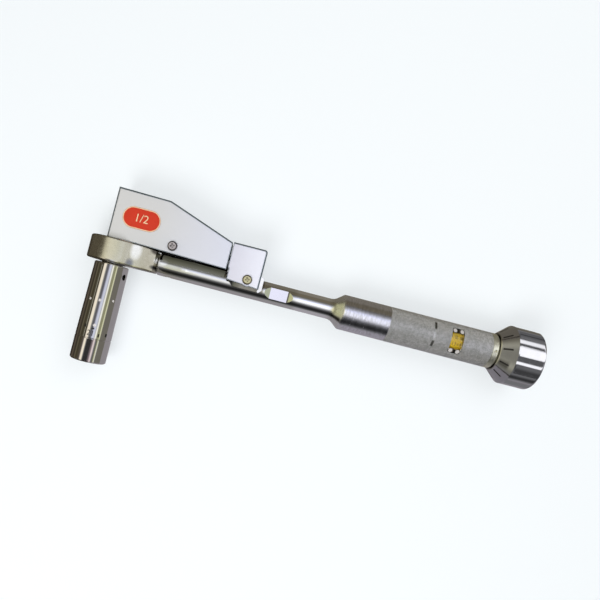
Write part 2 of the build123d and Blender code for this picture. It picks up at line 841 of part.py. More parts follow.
# ================================================================ spring train inside the tube
with BuildPart() as toggle_block:
    with BuildSketch(deck(axis_rise - block_width / 2)):
        with Locations(((block_front + block_rear) / 2, 0)):
            Rectangle(block_length, block_height)
    extrude(amount=block_width)
    chamfer(toggle_block.edges().filter_by(Axis.Y), block_chamfer)
keep(toggle_block, "toggle_block")

with BuildPart() as thrust_rod:
    rod_end = block_rear + block_gap
    revolve(
        turned([
            (rod_end, 0),
            (rod_end, rod_radius),
            (seat_front, rod_radius),
            (seat_front, spring_bore - travel_gap),
            (seat_rear, spring_bore - travel_gap),
            (seat_rear, 0),
        ]),
        axis=handle_axis,
    )
    chamfer(thrust_rod.edges().filter_by(GeomType.CIRCLE).group_by(Axis.X)[0], rod_lead)
keep(thrust_rod, "thrust_rod")

with BuildPart() as main_spring:
    spring_mean = spring_bore - key_depth - travel_gap - spring_wire / 2
    coil_start = (seat_rear + spring_wire / 2 + end_gap, axis_rise, 0)
    coil_length = spring_length - spring_wire - 2 * end_gap
    spring_line = coil(spring_mean, coil_length, spring_turns, coil_start, (1, 0, 0), (0, 1, 0))
    with BuildSketch(Plane(origin=spring_line @ 0, z_dir=spring_line % 0)):
        Circle(spring_wire / 2)
    sweep(path=spring_line)
keep(main_spring, "main_spring")
print_coil_gap("main_spring", spring_line, spring_turns, spring_wire)

with BuildPart() as spring_nut:
    with BuildSketch(cross(nut_front)):
        Circle(spring_bore - 2 * running_gap)
        Circle(screw_radius + running_gap, mode=Mode.SUBTRACT)
        with Locations((-spring_bore, 0)):
            Rectangle(2 * (key_depth + key_gap), key_width + 2 * key_gap, mode=Mode.SUBTRACT)
    extrude(amount=nut_length)
    # The rear rim is turned down to carry the scale.
    scale_seat = spring_bore - travel_gap - scale_thick
    step = turned([
        (nut_rear - nut_length / 2, scale_seat),
        (nut_rear - nut_length / 2, spring_bore + cut_over),
        (nut_rear + cut_over, spring_bore + cut_over),
        (nut_rear + cut_over, scale_seat),
    ])
    revolve(step, axis=handle_axis, mode=Mode.SUBTRACT)
keep(spring_nut, "spring_nut")

with BuildPart() as scale_plate:
    scale_front = nut_rear - nut_length / 2 + seat_gap
    scale_rear = window_centre + window_length / 2 + nut_travel + scale_cover
    revolve(
        turned([
            (scale_front, scale_seat + seat_gap),
            (scale_front, scale_seat + scale_thick),
            (scale_rear, scale_seat + scale_thick),
            (scale_rear, scale_seat + seat_gap),
        ]),
        axis=handle_axis,
    )
    with BuildSketch(deck(axis_rise)):
        with Locations((scale_front, -scale_edge)):
            Rectangle(scale_rear - scale_front, spring_bore, align=(Align.MIN, Align.MAX))
    extrude(amount=spring_bore, both=True, mode=Mode.INTERSECT)
keep(scale_plate, "scale_plate")

with BuildPart() as adjusting_screw:
    screw_front = nut_front - nut_travel - screw_reach
    revolve(
        turned([
            (screw_front, 0),
            (screw_front, screw_radius),
            (shoulder_front, screw_radius),
            (shoulder_front, screw_shoulder_radius),
            (washer_front - running_gap, screw_shoulder_radius),
            (washer_front - running_gap, shaft_radius),
            (mouth_floor, shaft_radius),
            (mouth_floor, 0),
        ]),
        axis=handle_axis,
    )
    with BuildSketch(cross(mouth_floor)):
        Rectangle(hub_square, hub_square)
    extrude(amount=bolt_seat - hub_roof - mouth_floor)
    with BuildSketch(cross(mouth_floor + bolt_hole_start)):
        Circle(knob_bolt_radius)
    extrude(amount=bolt_seat - mouth_floor, mode=Mode.SUBTRACT)
    chamfer(adjusting_screw.edges().filter_by(GeomType.CIRCLE).group_by(Axis.X)[0], screw_lead)
keep(adjusting_screw, "adjusting_screw")

with BuildPart() as thrust_washer:
    with BuildSketch(cross(washer_front + seat_gap)):
        Circle(washer_radius)
        Circle(shaft_radius + 2 * running_gap, mode=Mode.SUBTRACT)
    extrude(amount=washer_thick - 2 * seat_gap)
keep(thrust_washer, "thrust_washer")

# ================================================================ setting knob
with BuildPart() as setting_knob:
    revolve(
        turned([
            (mouth_floor, 0),
            (mouth_floor, knob_mouth - knob_lip),
            (knob_front, knob_mouth - knob_lip),
            (knob_front, knob_mouth),
            (cone_rear, knob_radius),
            (knob_rear, knob_radius),
            (knob_rear, cap_radius),
            (knob_rear - cap_thick, cap_radius),
            (knob_rear - cap_thick, knob_bolt_head + running_gap),
            (bolt_seat, knob_bolt_head + running_gap),
            (bolt_seat, 0),
        ]),
        axis=handle_axis,
    )
    knob_rims = setting_knob.edges().filter_by(GeomType.CIRCLE).group_by(SortBy.RADIUS)[-1]
    fillet(knob_rims.sort_by(Axis.X)[-1], knob_round)
    with BuildSketch(cross(flute_start)):
        flute_place = knob_radius - flute_depth + flute_radius
        with PolarLocations(flute_place, flute_count, start_angle=90 - flute_first):
            Circle(flute_radius)
    extrude(amount=knob_rear - flute_start + cut_over, mode=Mode.SUBTRACT)
    with BuildSketch(cross(mouth_floor - cut_over)):
        Rectangle(hub_square + 2 * seat_gap, hub_square + 2 * seat_gap)
    extrude(amount=bolt_seat - hub_roof + hub_gap - mouth_floor + cut_over, mode=Mode.SUBTRACT)
    with BuildSketch(cross(mouth_floor)):
        Circle(knob_bolt_radius + running_gap)
    extrude(amount=bolt_seat - mouth_floor + cut_over, mode=Mode.SUBTRACT)
keep(setting_knob, "setting_knob")

with BuildPart() as knob_bolt:
    with BuildSketch(cross(bolt_seat)):
        Circle(knob_bolt_head)
    extrude(amount=knob_bolt_head_height)
    with BuildSketch(cross(bolt_seat)):
        Circle(knob_bolt_radius - seat_gap)
    extrude(amount=-(bolt_seat - mouth_floor - bolt_hole_start - end_gap))
    with BuildSketch(cross(bolt_seat + knob_bolt_head_height)):
        RegularPolygon(knob_bolt_socket, 6, major_radius=False)
    extrude(amount=-knob_bolt_socket_depth, mode=Mode.SUBTRACT)
keep(knob_bolt, "knob_bolt")

with BuildPart() as knob_cap:
    with BuildSketch(cross(knob_rear - cap_thick + seat_gap)):
        Circle(cap_radius - seat_gap)
    extrude(amount=cap_thick - seat_gap)
    chamfer(knob_cap.edges().filter_by(GeomType.CIRCLE).group_by(Axis.X)[-1], cap_edge)
keep(knob_cap, "knob_cap")

# ================================================================ covers over the marking gear
cover_outline = [
    (cover_front, head_height + seat_gap),
    (cover_front, cover_rise_front),
    (cover_bend, cover_rise_bend),
    (cover_rear, cover_rise_rear),
    (cover_rear, cover_foot_rear),
    (cover_foot_front, head_height + seat_gap),
]
with BuildPart() as front_cover:
    extrude(outline(cover_outline, Plane.XY), amount=cover_half_width, both=True)
    roof = front_cover.faces().filter_by(lambda f: f.normal_at().Y > 0.3 or f.normal_at().X < -0.9)
    flanks = front_cover.faces().filter_by(Axis.Z)
    rims = [e for e in roof.edges() if e in flanks.edges()]
    fillet(rims, sheet_bend)
    # Inside the sheet: the two roof lines, each moved in square to itself.
    front_fall = (cover_rise_bend - cover_rise_front) / (cover_bend - cover_front)
    rear_fall = (cover_rise_rear - cover_rise_bend) / (cover_rear - cover_bend)
    front_roof = cover_rise_front - sheet * math.hypot(1, front_fall)
    rear_roof = cover_rise_bend - sheet * math.hypot(1, rear_fall)
    bend_run = (front_roof - rear_roof + front_fall * (cover_bend - cover_front)) / (rear_fall - front_fall)
    inner_bend = cover_bend + bend_run
    hollow = [
        (cover_front + sheet, 0),
        (cover_front + sheet, front_roof + front_fall * sheet),
        (inner_bend, rear_roof + rear_fall * bend_run),
        (cover_rear + cut_over, rear_roof + rear_fall * (cover_rear + cut_over - cover_bend)),
        (cover_rear + cut_over, 0),
    ]
    extrude(outline(hollow, Plane.XY), amount=cover_side, both=True, mode=Mode.SUBTRACT)
    with BuildSketch(side(cover_half_width)):
        with Locations(cover_screw):
            Circle(cover_screw_radius + seat_gap)
    extrude(amount=-2 * cover_half_width, mode=Mode.SUBTRACT)
keep(front_cover, "front_cover")


def pan_screws(place, shank):
    """Pair of cross recess pan head screws on the two sides of a cover, pointing inward."""
    pair = []
    for facing in (1, -1):
        seat = Plane(origin=(*place, facing * cover_half_width), z_dir=(0, 0, facing))
        with BuildPart(seat) as screw:
            Cylinder(cover_screw_head, screw_head_height, align=(Align.CENTER, Align.CENTER, Align.MIN))
            rim = screw.edges().filter_by(GeomType.CIRCLE).sort_by(lambda e: facing * e.center().Z)[-1]
            fillet(rim, screw_head_round)
            Cylinder(cover_screw_radius - seat_gap, shank, align=(Align.CENTER, Align.CENTER, Align.MAX))
            with BuildSketch(seat.offset(screw_head_height)):
                Rectangle(cross_size, cross_width, rotation=cross_turn)
                Rectangle(cross_width, cross_size, rotation=cross_turn)
            extrude(amount=-cross_depth, mode=Mode.SUBTRACT)
        pair.append(screw.part)
    return pair


with BuildPart() as front_cover_screws:
    add(pan_screws(cover_screw, cover_screw_shank))
keep(front_cover_screws, "front_cover_screws")

with BuildPart() as side_label:
    with BuildSketch(side(cover_half_width)):
        with Locations(label_centre):
            SlotOverall(label_length, label_height)
    extrude(amount=label_thick)
keep(side_label, "side_label")

with BuildPart() as end_cover:
    end_front_low = end_cover_front + end_cover_step
    flap_outline = [
        (end_cover_front, cover_foot_rear + end_cover_foot_rise),
        (end_cover_front, end_cover_rise),
        (end_cover_rear, end_cover_rise),
        (end_cover_rear, end_cover_foot - end_cover_foot_fall),
        (end_front_low, end_cover_foot),
        (end_front_low, cover_foot_rear + end_cover_foot_rise),
    ]
    with BuildSketch(Plane.XY) as flap:
        with BuildLine():
            Polyline(*flap_outline, close=True)
        make_face()
        rear_corner = flap.vertices().sort_by(lambda v: v.X + v.Y)[-1]
        fillet(rear_corner, end_cover_corner)
        with Locations(end_screw):
            Circle(end_ear)
    extrude(amount=cover_half_width, both=True)
    top_faces = end_cover.faces().filter_by(lambda f: f.normal_at().Y > 0.3 or f.normal_at().X > 0.3)
    flap_edges = end_cover.faces().filter_by(Axis.Z).edges()
    upper_edges = top_faces.edges().filter_by(lambda e: e.center().Y > end_screw[1] + end_ear)
    fillet([e for e in upper_edges if e in flap_edges], sheet_bend)
    inner = [
        (end_cover_front - cut_over, 0),
        (end_cover_front - cut_over, end_cover_rise - sheet),
        (end_cover_rear - sheet, end_cover_rise - sheet),
        (end_cover_rear - sheet, 0),
    ]
    extrude(outline(inner, Plane.XY), amount=cover_side, both=True, mode=Mode.SUBTRACT)
    # The rear wall stops above the tube and the saddle.
    with BuildSketch(cross(end_cover_rear - sheet - cut_over)):
        with Locations((-axis_rise, 0)):
            Rectangle(
                saddle_top - saddle_step + travel_gap,
                2 * cover_side,
                align=(Align.MIN, Align.CENTER),
            )
    extrude(amount=sheet + 2 * cut_over, mode=Mode.SUBTRACT)
    with BuildSketch(side(cover_half_width)):
        with Locations(end_screw):
            Circle(cover_screw_radius + seat_gap)
    extrude(amount=-2 * cover_half_width, mode=Mode.SUBTRACT)
keep(end_cover, "end_cover")

with BuildPart() as end_cover_screws:
    add(pan_screws(end_screw, end_screw_shank))
keep(end_cover_screws, "end_cover_screws")

with BuildPart() as saddle_clamp:
    saddle_outline = [
        (saddle_front, saddle_foot + saddle_slope),
        (saddle_front, saddle_top),
        (end_cover_rear - sheet - end_gap, saddle_top),
        (end_cover_rear - sheet - end_gap, saddle_top - saddle_step),
        (saddle_rear, saddle_top - saddle_rear_drop),
        (saddle_rear, saddle_foot + saddle_rear_slope),
        (saddle_rear - saddle_rear_slope, saddle_foot),
        (saddle_front + saddle_slope, saddle_foot),
    ]
    extrude(outline(saddle_outline, Plane.XY), amount=cover_side - seat_gap, both=True)
    with BuildSketch(cross(saddle_front - cut_over)):
        Circle(tube_radius + seat_gap)
        Rectangle(
            axis_rise,
            2 * (tube_radius + seat_gap),
            align=(Align.MAX, Align.CENTER),
        )
    extrude(amount=saddle_rear, mode=Mode.SUBTRACT)
    with BuildSketch(side(cover_half_width)):
        with Locations(end_screw):
            Circle(cover_screw_radius)
    extrude(amount=-end_screw_hole, mode=Mode.SUBTRACT)
    with BuildSketch(side(-cover_half_width)):
        with Locations(end_screw):
            Circle(cover_screw_radius)
    extrude(amount=end_screw_hole, mode=Mode.SUBTRACT)
    with BuildSketch(deck(saddle_top)):
        with Locations(*[(x, 0) for x in saddle_screw_places]):
            Circle(saddle_screw_radius)
    extrude(amount=-saddle_top, mode=Mode.SUBTRACT)
keep(saddle_clamp, "saddle_clamp")

with BuildPart() as cam_plate:
    # Strip bolted to the saddle, with the ramp that lifts the rocker's roller.
    strip_length = end_cover_rear - sheet - cam_rear_gap - cam_plate_front
    with BuildSketch(deck(saddle_top)):
        with Locations((cam_plate_front, 0)):
            Rectangle(strip_length, cam_plate_width, align=(Align.MIN, Align.CENTER))
        with Locations(*[(x, 0) for x in saddle_screw_places]):
            Circle(saddle_screw_radius + seat_gap, mode=Mode.SUBTRACT)
    extrude(amount=cam_plate_thick)
    # Ramp across Z: it rises toward -Z and keeps the travel gap under the roller.
    ramp_foot = saddle_top + cam_plate_thick
    contact_z = -(roller_radius + travel_gap) * math.sin(cam_slope)
    contact_y = roller_y - (roller_radius + travel_gap) * math.cos(cam_slope)
    ramp_low_z = contact_z + (contact_y - ramp_foot) / math.tan(cam_slope)
    ramp_high_z = contact_z - (ramp_foot + cam_rise - contact_y) / math.tan(cam_slope)
    ramp_front = roller_x - roller_width / 2 - cam_margin
    with BuildSketch(Plane(origin=(ramp_front, 0, 0), x_dir=(0, 1, 0), z_dir=(1, 0, 0))):
        with BuildLine():
            Polyline(
                (ramp_foot, ramp_low_z),
                (ramp_foot + cam_rise, ramp_high_z),
                (ramp_foot + cam_rise, ramp_high_z - cam_crest),
                (ramp_foot, ramp_high_z - cam_crest),
                close=True,
            )
        make_face()
    extrude(amount=roller_width + 2 * cam_margin)
keep(cam_plate, "cam_plate")

with BuildPart() as saddle_screws:
    with Locations(*[Plane(origin=(x, ramp_foot, 0), z_dir=(0, 1, 0)) for x in saddle_screw_places]):
        Cylinder(
            saddle_screw_head,
            saddle_screw_head_height,
            align=(Align.CENTER, Align.CENTER, Align.MIN),
        )
        Cylinder(
            saddle_screw_radius - seat_gap,
            ramp_foot - axis_rise - tube_bore - end_gap,
            align=(Align.CENTER, Align.CENTER, Align.MAX),
        )
    with BuildSketch(deck(ramp_foot + saddle_screw_head_height)):
        with Locations(*[(x, 0) for x in saddle_screw_places]):
            RegularPolygon(saddle_screw_socket, 6, major_radius=False)
    extrude(amount=-saddle_screw_socket_depth, mode=Mode.SUBTRACT)
keep(saddle_screws, "saddle_screws")

# ================================================================ bracket, rocker and plunger
with BuildPart() as cover_bracket:
    base_front = cover_front + sheet + seat_gap
    with BuildSketch(deck(head_height)):
        with Locations((base_front, 0)):
            Rectangle(bracket_base_rear - base_front, 2 * bracket_side, align=(Align.MIN, Align.CENTER))
        Circle(guide_radius - guide_neck, mode=Mode.SUBTRACT)
        with Locations(*bracket_screw_places):
            Circle(bracket_screw_radius + seat_gap, mode=Mode.SUBTRACT)
    extrude(amount=bracket_sheet)
    arm = [
        (base_front, head_height),
        (base_front, bracket_arm_top),
        (bracket_arm_rear, bracket_arm_top),
        (bracket_arm_rear, head_height),
    ]
    extrude(outline(arm, side(bracket_side - bracket_sheet)), amount=bracket_sheet)
    extrude(outline(arm, side(-bracket_side)), amount=bracket_sheet)
    with BuildSketch(side(cover_half_width)):
        with Locations(cover_screw):
            Circle(cover_screw_radius)
        with Locations(rocker_pivot):
            Circle(rocker_pin_radius)
    extrude(amount=-2 * cover_half_width, mode=Mode.SUBTRACT)
keep(cover_bracket, "cover_bracket")

with BuildPart() as bracket_screws:
    screw_planes = [
        Plane(origin=(x, head_height + bracket_sheet, -z), z_dir=(0, 1, 0)) for x, z in bracket_screw_places
    ]
    with Locations(*screw_planes):
        Cylinder(
            bracket_screw_head,
            bracket_screw_head_height,
            align=(Align.CENTER, Align.CENTER, Align.MIN),
        )
        Cylinder(
            bracket_screw_radius - seat_gap,
            bracket_sheet + ceiling - end_gap,
            align=(Align.CENTER, Align.CENTER, Align.MAX),
        )
    with BuildSketch(deck(head_height + bracket_sheet + bracket_screw_head_height)):
        with Locations(*bracket_screw_places):
            Rectangle(bracket_cross, slot_width)
            Rectangle(slot_width, bracket_cross)
    extrude(amount=-bracket_cross_depth, mode=Mode.SUBTRACT)
keep(bracket_screws, "bracket_screws")

with BuildPart() as plunger_guide:
    bush_bore = plunger_radius + running_gap
    revolve(
        upright([
            (bush_bore, head_height + end_gap),
            (guide_radius - guide_neck - seat_gap, head_height + end_gap),
            (guide_radius - guide_neck - seat_gap, guide_seat),
            (guide_radius, guide_seat),
            (guide_radius, guide_seat + guide_flange_height),
            (guide_radius - guide_spring_seat, guide_seat + guide_flange_height),
            (guide_radius - guide_spring_seat, guide_top),
            (bush_bore, guide_top),
        ]),
        axis=drive_axis,
    )
keep(plunger_guide, "plunger_guide")

with BuildPart() as push_rod:
    revolve(
        upright([
            (0, plunger_end),
            (plunger_radius - plunger_lead, plunger_end),
            (plunger_radius, plunger_end + plunger_lead),
            (plunger_radius, cap_foot),
            (plunger_cap_radius, cap_foot),
            (plunger_cap_radius, cap_top - plunger_cap_edge),
            (plunger_cap_radius - plunger_cap_edge, cap_top),
            (0, cap_top),
        ]),
        axis=drive_axis,
    )
keep(push_rod, "push_rod")

with BuildPart() as return_spring:
    # It stands on the guide's flange, round the guide's neck.
    return_seat = guide_seat + guide_flange_height
    return_mean = guide_radius - guide_spring_seat + coil_side + return_wire / 2
    return_start = (0, return_seat + return_wire / 2 + coil_gap, 0)
    return_length = cap_foot - return_seat - return_wire - 2 * coil_gap
    return_line = coil(return_mean, return_length, return_turns, return_start, (0, 1, 0), (1, 0, 0))
    with BuildSketch(Plane(origin=return_line @ 0, z_dir=return_line % 0)):
        Circle(return_wire / 2)
    sweep(path=return_line)
keep(return_spring, "return_spring")
print_coil_gap("return_spring", return_line, return_turns, return_wire)

with BuildPart() as rocker_lever:
    with BuildSketch(Plane.XY):
        with Locations(rocker_pivot):
            Circle(rocker_eye)
        with Locations((0, rocker_nose_y + rocker_nose)):
            Circle(rocker_nose)
        make_hull()
        with Locations((0, rocker_nose_y)):
            Circle(rocker_nose)
    extrude(amount=rocker_thick / 2, both=True)
    with BuildSketch(Plane.XY):
        with Locations(rocker_pivot):
            Circle(rocker_eye)
        with Locations((roller_front - roller_arm, roller_y)):
            Circle(roller_arm)
        make_hull()
    extrude(amount=rocker_thick / 2, both=True)
    with BuildSketch(Plane.XY):
        with Locations(rocker_pivot):
            Circle(rocker_pin_radius + running_gap)
    extrude(amount=rocker_thick, both=True, mode=Mode.SUBTRACT)
    with BuildSketch(Plane(origin=(roller_front - roller_pin_hold, roller_y, 0), z_dir=(1, 0, 0))):
        Circle(roller_pin_radius)
    extrude(amount=roller_pin_hold + cut_over, mode=Mode.SUBTRACT)
keep(rocker_lever, "rocker_lever")

with BuildPart() as rocker_pin:
    with BuildSketch(side(-bracket_side + end_gap)):
        with Locations(rocker_pivot):
            Circle(rocker_pin_radius - seat_gap)
    extrude(amount=2 * (bracket_side - end_gap))
keep(rocker_pin, "rocker_pin")

with BuildPart() as roller_pin:
    pin_front = roller_front - roller_pin_hold + seat_gap
    pin_head = roller_front + roller_width + end_gap
    with BuildSketch(Plane(origin=(pin_front, roller_y, 0), z_dir=(1, 0, 0))):
        Circle(roller_pin_radius - seat_gap)
    extrude(amount=pin_head + roller_pin_head_thick - pin_front)
    with BuildSketch(Plane(origin=(pin_head, roller_y, 0), z_dir=(1, 0, 0))):
        Circle(roller_pin_head)
    extrude(amount=roller_pin_head_thick)
keep(roller_pin, "roller_pin")

with BuildPart() as follower_roller:
    with BuildSketch(Plane(origin=(roller_front + running_gap, roller_y, 0), z_dir=(1, 0, 0))):
        Circle(roller_radius)
        Circle(roller_pin_radius + running_gap, mode=Mode.SUBTRACT)
    extrude(amount=roller_width - running_gap)
    fillet(follower_roller.edges().filter_by(GeomType.CIRCLE).sort_by(SortBy.RADIUS)[-2:], roller_edge)
keep(follower_roller, "follower_roller")

# ================================================================ socket and marker
with BuildPart() as deep_socket:
    revolve(
        upright([
            (0, socket_top),
            (socket_top_radius - socket_top_edge, socket_top),
            (socket_top_radius, socket_top - socket_top_edge),
            (socket_foot_radius, ring_top),
            (ring_radius, ring_top - socket_ring_depth),
            (ring_radius, ring_foot + socket_ring_depth),
            (socket_foot_radius, ring_foot),
            (socket_foot_radius, socket_foot + socket_foot_edge),
            (socket_foot_radius - socket_foot_edge, socket_foot),
            (0, socket_foot),
        ]),
        axis=drive_axis,
    )
    with BuildSketch(deck(socket_top)):
        square_side = drive_square + 2 * square_gap
        Rectangle(square_side, square_side, rotation=-drive_turn)
    extrude(amount=-square_depth, mode=Mode.SUBTRACT)
    with BuildSketch(deck(square_floor)):
        Circle(chamber_radius)
    extrude(amount=-(square_floor - hex_roof), mode=Mode.SUBTRACT)
    with BuildSketch(deck(hex_roof)):
        RegularPolygon(hex_size / 2, 6, major_radius=False)
    extrude(amount=-hex_depth, mode=Mode.SUBTRACT)
    hex_mouth = deep_socket.faces().sort_by(Axis.Y)[0].inner_wires().edges()
    chamfer(hex_mouth, hex_lead)
    # Detent hole, and the track that the ball runs in as the socket comes off.
    with BuildSketch(Plane(origin=detent_level, z_dir=detent_aim)):
        Circle(detent_hole)
    extrude(amount=socket_foot_radius, mode=Mode.SUBTRACT)
    track_reach = drive_square / 2 + square_gap + ball_stand
    with BuildSketch(deck(socket_top)):
        Rectangle(track_reach, 2 * ball_radius, rotation=-drive_turn, align=(Align.MIN, Align.CENTER))
    extrude(amount=-square_depth, mode=Mode.SUBTRACT)
keep(deep_socket, "deep_socket")

with BuildPart() as marker_bush:
    with BuildSketch(deck(bush_foot)):
        Circle(chamber_radius - seat_gap)
        Circle(marker_radius + running_gap, mode=Mode.SUBTRACT)
    extrude(amount=bush_length)
keep(marker_bush, "marker_bush")

with BuildPart() as marker_cartridge:
    revolve(
        upright([
            (0, marker_top),
            (marker_flange - marker_flange_edge, marker_top),
            (marker_flange, marker_top - marker_flange_edge),
            (marker_flange, marker_body_top),
            (marker_radius, marker_body_top),
            (marker_radius, marker_body_end),
            (0, marker_body_end),
        ]),
        axis=drive_axis,
    )
keep(marker_cartridge, "marker_cartridge")

with BuildPart() as marker_tip:
    revolve(
        upright([
            (0, marker_body_end),
            (marker_tip_radius, marker_body_end),
            (marker_tip_radius, marker_tip_end + marker_point),
            (marker_tip_radius - marker_point_step, marker_tip_end),
            (0, marker_tip_end),
        ]),
        axis=drive_axis,
    )
keep(marker_tip, "marker_tip")

with BuildPart() as marker_spring:
    marker_mean = (marker_radius + chamber_radius) / 2
    coil_start = (0, bush_top + marker_wire / 2 + coil_gap, 0)
    coil_length = marker_body_top - bush_top - marker_wire - 2 * coil_gap
    marker_line = coil(marker_mean, coil_length, marker_turns, coil_start, (0, 1, 0), (1, 0, 0))
    with BuildSketch(Plane(origin=marker_line @ 0, z_dir=marker_line % 0)):
        Circle(marker_wire / 2)
    sweep(path=marker_line)
keep(marker_spring, "marker_spring")
print_coil_gap("marker_spring", marker_line, marker_turns, marker_wire)

box = Compound(children=pieces).bounding_box()
print("pieces", len(pieces))
print("size", box.size, "low", box.min, "high", box.max)
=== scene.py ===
import json
import math
from functools import reduce

import bmesh
import bpy
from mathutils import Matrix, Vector


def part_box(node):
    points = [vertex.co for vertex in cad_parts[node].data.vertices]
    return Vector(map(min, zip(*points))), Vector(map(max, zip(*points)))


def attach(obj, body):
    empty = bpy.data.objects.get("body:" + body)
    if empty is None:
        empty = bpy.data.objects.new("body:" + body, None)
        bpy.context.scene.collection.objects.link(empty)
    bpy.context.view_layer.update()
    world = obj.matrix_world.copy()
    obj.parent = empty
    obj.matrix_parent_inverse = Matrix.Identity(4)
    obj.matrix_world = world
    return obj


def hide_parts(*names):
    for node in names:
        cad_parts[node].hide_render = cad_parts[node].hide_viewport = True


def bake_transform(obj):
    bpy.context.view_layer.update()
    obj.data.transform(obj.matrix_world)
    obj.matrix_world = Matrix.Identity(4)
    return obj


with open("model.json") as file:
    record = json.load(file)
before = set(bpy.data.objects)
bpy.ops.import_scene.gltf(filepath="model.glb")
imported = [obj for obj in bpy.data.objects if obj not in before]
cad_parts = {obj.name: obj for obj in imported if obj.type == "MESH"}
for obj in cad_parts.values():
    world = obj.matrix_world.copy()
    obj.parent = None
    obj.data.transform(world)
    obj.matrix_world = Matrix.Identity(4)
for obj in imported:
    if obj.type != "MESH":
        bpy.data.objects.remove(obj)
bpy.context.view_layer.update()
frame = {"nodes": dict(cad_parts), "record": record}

# Looks of a marking torque wrench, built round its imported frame.  +X runs along the handle,
# +Y is the side of the cover box and +Z the side of the scale window.  Meshes are in metres;
# shades, springs, marks and cards are given in millimetres.

MM = 0.001
nodes = frame["nodes"]

# -------------------- places read from the frame
tube_low, tube_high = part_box("main_tube")
axis_y = (tube_low.y + tube_high.y) / 2
axis_mm = axis_y / MM
grip_radius = tube_high.z
grip_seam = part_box("front_grip")[1].x / MM
knob_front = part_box("setting_knob")[0].x / MM
lens_low, lens_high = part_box("window_lens")
window_x = (lens_low.x + lens_high.x) / 2

# -------------------- colours used more than once
WHITE = (1.0, 1.0, 1.0)
NICKEL = (0.67, 0.65, 0.56)
# painted shade, with a greasy film, for corners and recesses
GREASY_SHADE = (0.03, 0.025, 0.02)


def grey(value):
    """Neutral colour of one value."""
    return (value, value, value)


# -------------------- node helpers
class Tree:
    """Thin wrapper that makes and links shader nodes."""

    def __init__(self, tree):
        self.tree = tree
        tree.nodes.clear()

    def add(self, kind, **settings):
        """A node with its properties set."""
        node = self.tree.nodes.new(kind)
        for key, value in settings.items():
            setattr(node, key, value)
        return node

    def link(self, source, target):
        """Link an output socket to an input socket."""
        self.tree.links.new(source, target)

    def put(self, socket, value):
        """Link a socket, or set it where the value is plain."""
        if isinstance(value, bpy.types.NodeSocket):
            self.link(value, socket)
        else:
            socket.default_value = value

    def paint(self, socket, colour):
        """Link a colour, or set it with full alpha where it is plain."""
        self.put(socket, colour if isinstance(colour, bpy.types.NodeSocket) else (*colour, 1))

    def math(self, operation, a, b=0.0):
        """One Math node."""
        node = self.add("ShaderNodeMath", operation=operation)
        self.put(node.inputs[0], a)
        self.put(node.inputs[1], b)
        return node.outputs[0]

    def plus(self, a, b):
        """Sum of two values."""
        return self.math("ADD", a, b)

    def minus(self, a, b):
        """Difference of two values."""
        return self.math("SUBTRACT", a, b)

    def times(self, a, b):
        """Product of two values."""
        return self.math("MULTIPLY", a, b)

    def size(self, a):
        """A value without its sign."""
        return self.math("ABSOLUTE", a)

    def mix(self, factor, a, b):
        """Mix of two colours: a where the factor is 0, b where it is 1."""
        node = self.add("ShaderNodeMix", data_type="RGBA")
        self.put(node.inputs["Factor"], factor)
        self.paint(node.inputs[6], a)
        self.paint(node.inputs[7], b)
        return node.outputs[2]

    def spread(self, value, low, high, to_low=0.0, to_high=1.0):
        """A value moved from one range to another, clamped."""
        node = self.add("ShaderNodeMapRange")
        for k, part in enumerate((value, low, high, to_low, to_high)):
            self.put(node.inputs[k], part)
        return node.outputs[0]

    def split(self, vector):
        """The three parts of a vector."""
        node = self.add("ShaderNodeSeparateXYZ")
        self.link(vector, node.inputs[0])
        return node.outputs

    def place(self, stretch=(1, 1, 1)):
        """Object coordinates in millimetres, squeezed along the axes by stretch."""
        node = self.add("ShaderNodeVectorMath", operation="MULTIPLY")
        self.link(self.add("ShaderNodeTexCoord").outputs["Object"], node.inputs[0])
        node.inputs[1].default_value = [s / MM for s in stretch]
        return node.outputs[0]

    def axes(self):
        """The place along X, Y and Z in millimetres."""
        return self.split(self.place())

    def bare_normal(self):
        """The normal along X, Y and Z, before any bump."""
        return self.split(self.add("ShaderNodeTexCoord").outputs["Normal"])

    def noise(self, scale, stretch=(1, 1, 1), detail=3.0, roughness=0.5):
        """Noise with a grain of about 1/scale millimetres."""
        node = self.add("ShaderNodeTexNoise")
        self.link(self.place(stretch), node.inputs["Vector"])
        node.inputs["Scale"].default_value = scale
        node.inputs["Detail"].default_value = detail
        node.inputs["Roughness"].default_value = roughness
        return node.outputs["Fac"]

    def ramp(self, value, stops):
        """Colour ramp over a value, from (value, colour) stops in rising order."""
        low, high = stops[0][0], stops[-1][0]
        node = self.add("ShaderNodeValToRGB")
        elements = node.color_ramp.elements
        while len(elements) < len(stops):
            elements.new(0.5)
        for element, (at, colour) in zip(elements, stops):
            element.position = (at - low) / (high - low)
            element.color = (*colour, 1)
        self.link(self.spread(value, low, high), node.inputs[0])
        return node.outputs[0]

    def plain(self, kind, colour):
        """Shader of a kind that needs only a colour."""
        node = self.add(kind)
        self.paint(node.inputs["Color"], colour)
        return node.outputs[0]

    def blend(self, factor, first, second):
        """Blend of two shaders: the first where the factor is 0."""
        node = self.add("ShaderNodeMixShader")
        for k, source in enumerate((factor, first, second)):
            self.link(source, node.inputs[k])
        return node.outputs[0]


def material(name):
    """New material: itself, its tree and the socket that takes its surface."""
    mat = bpy.data.materials.new(name)
    mat.use_nodes = True
    tree = Tree(mat.node_tree)
    return mat, tree, tree.add("ShaderNodeOutputMaterial").inputs["Surface"]


def surface(name):
    """New material with its principled shader."""
    mat, tree, shown = material(name)
    shader = tree.add("ShaderNodeBsdfPrincipled")
    tree.link(shader.outputs[0], shown)
    return mat, tree, shader


def band(tree, part, low, high, soft=0.6):
    """Mask that is 1 from low to high, with soft ends."""
    rise = tree.spread(part, low - soft, low)
    fall = tree.spread(part, high, high + soft, 1.0, 0.0)
    return tree.times(rise, fall)


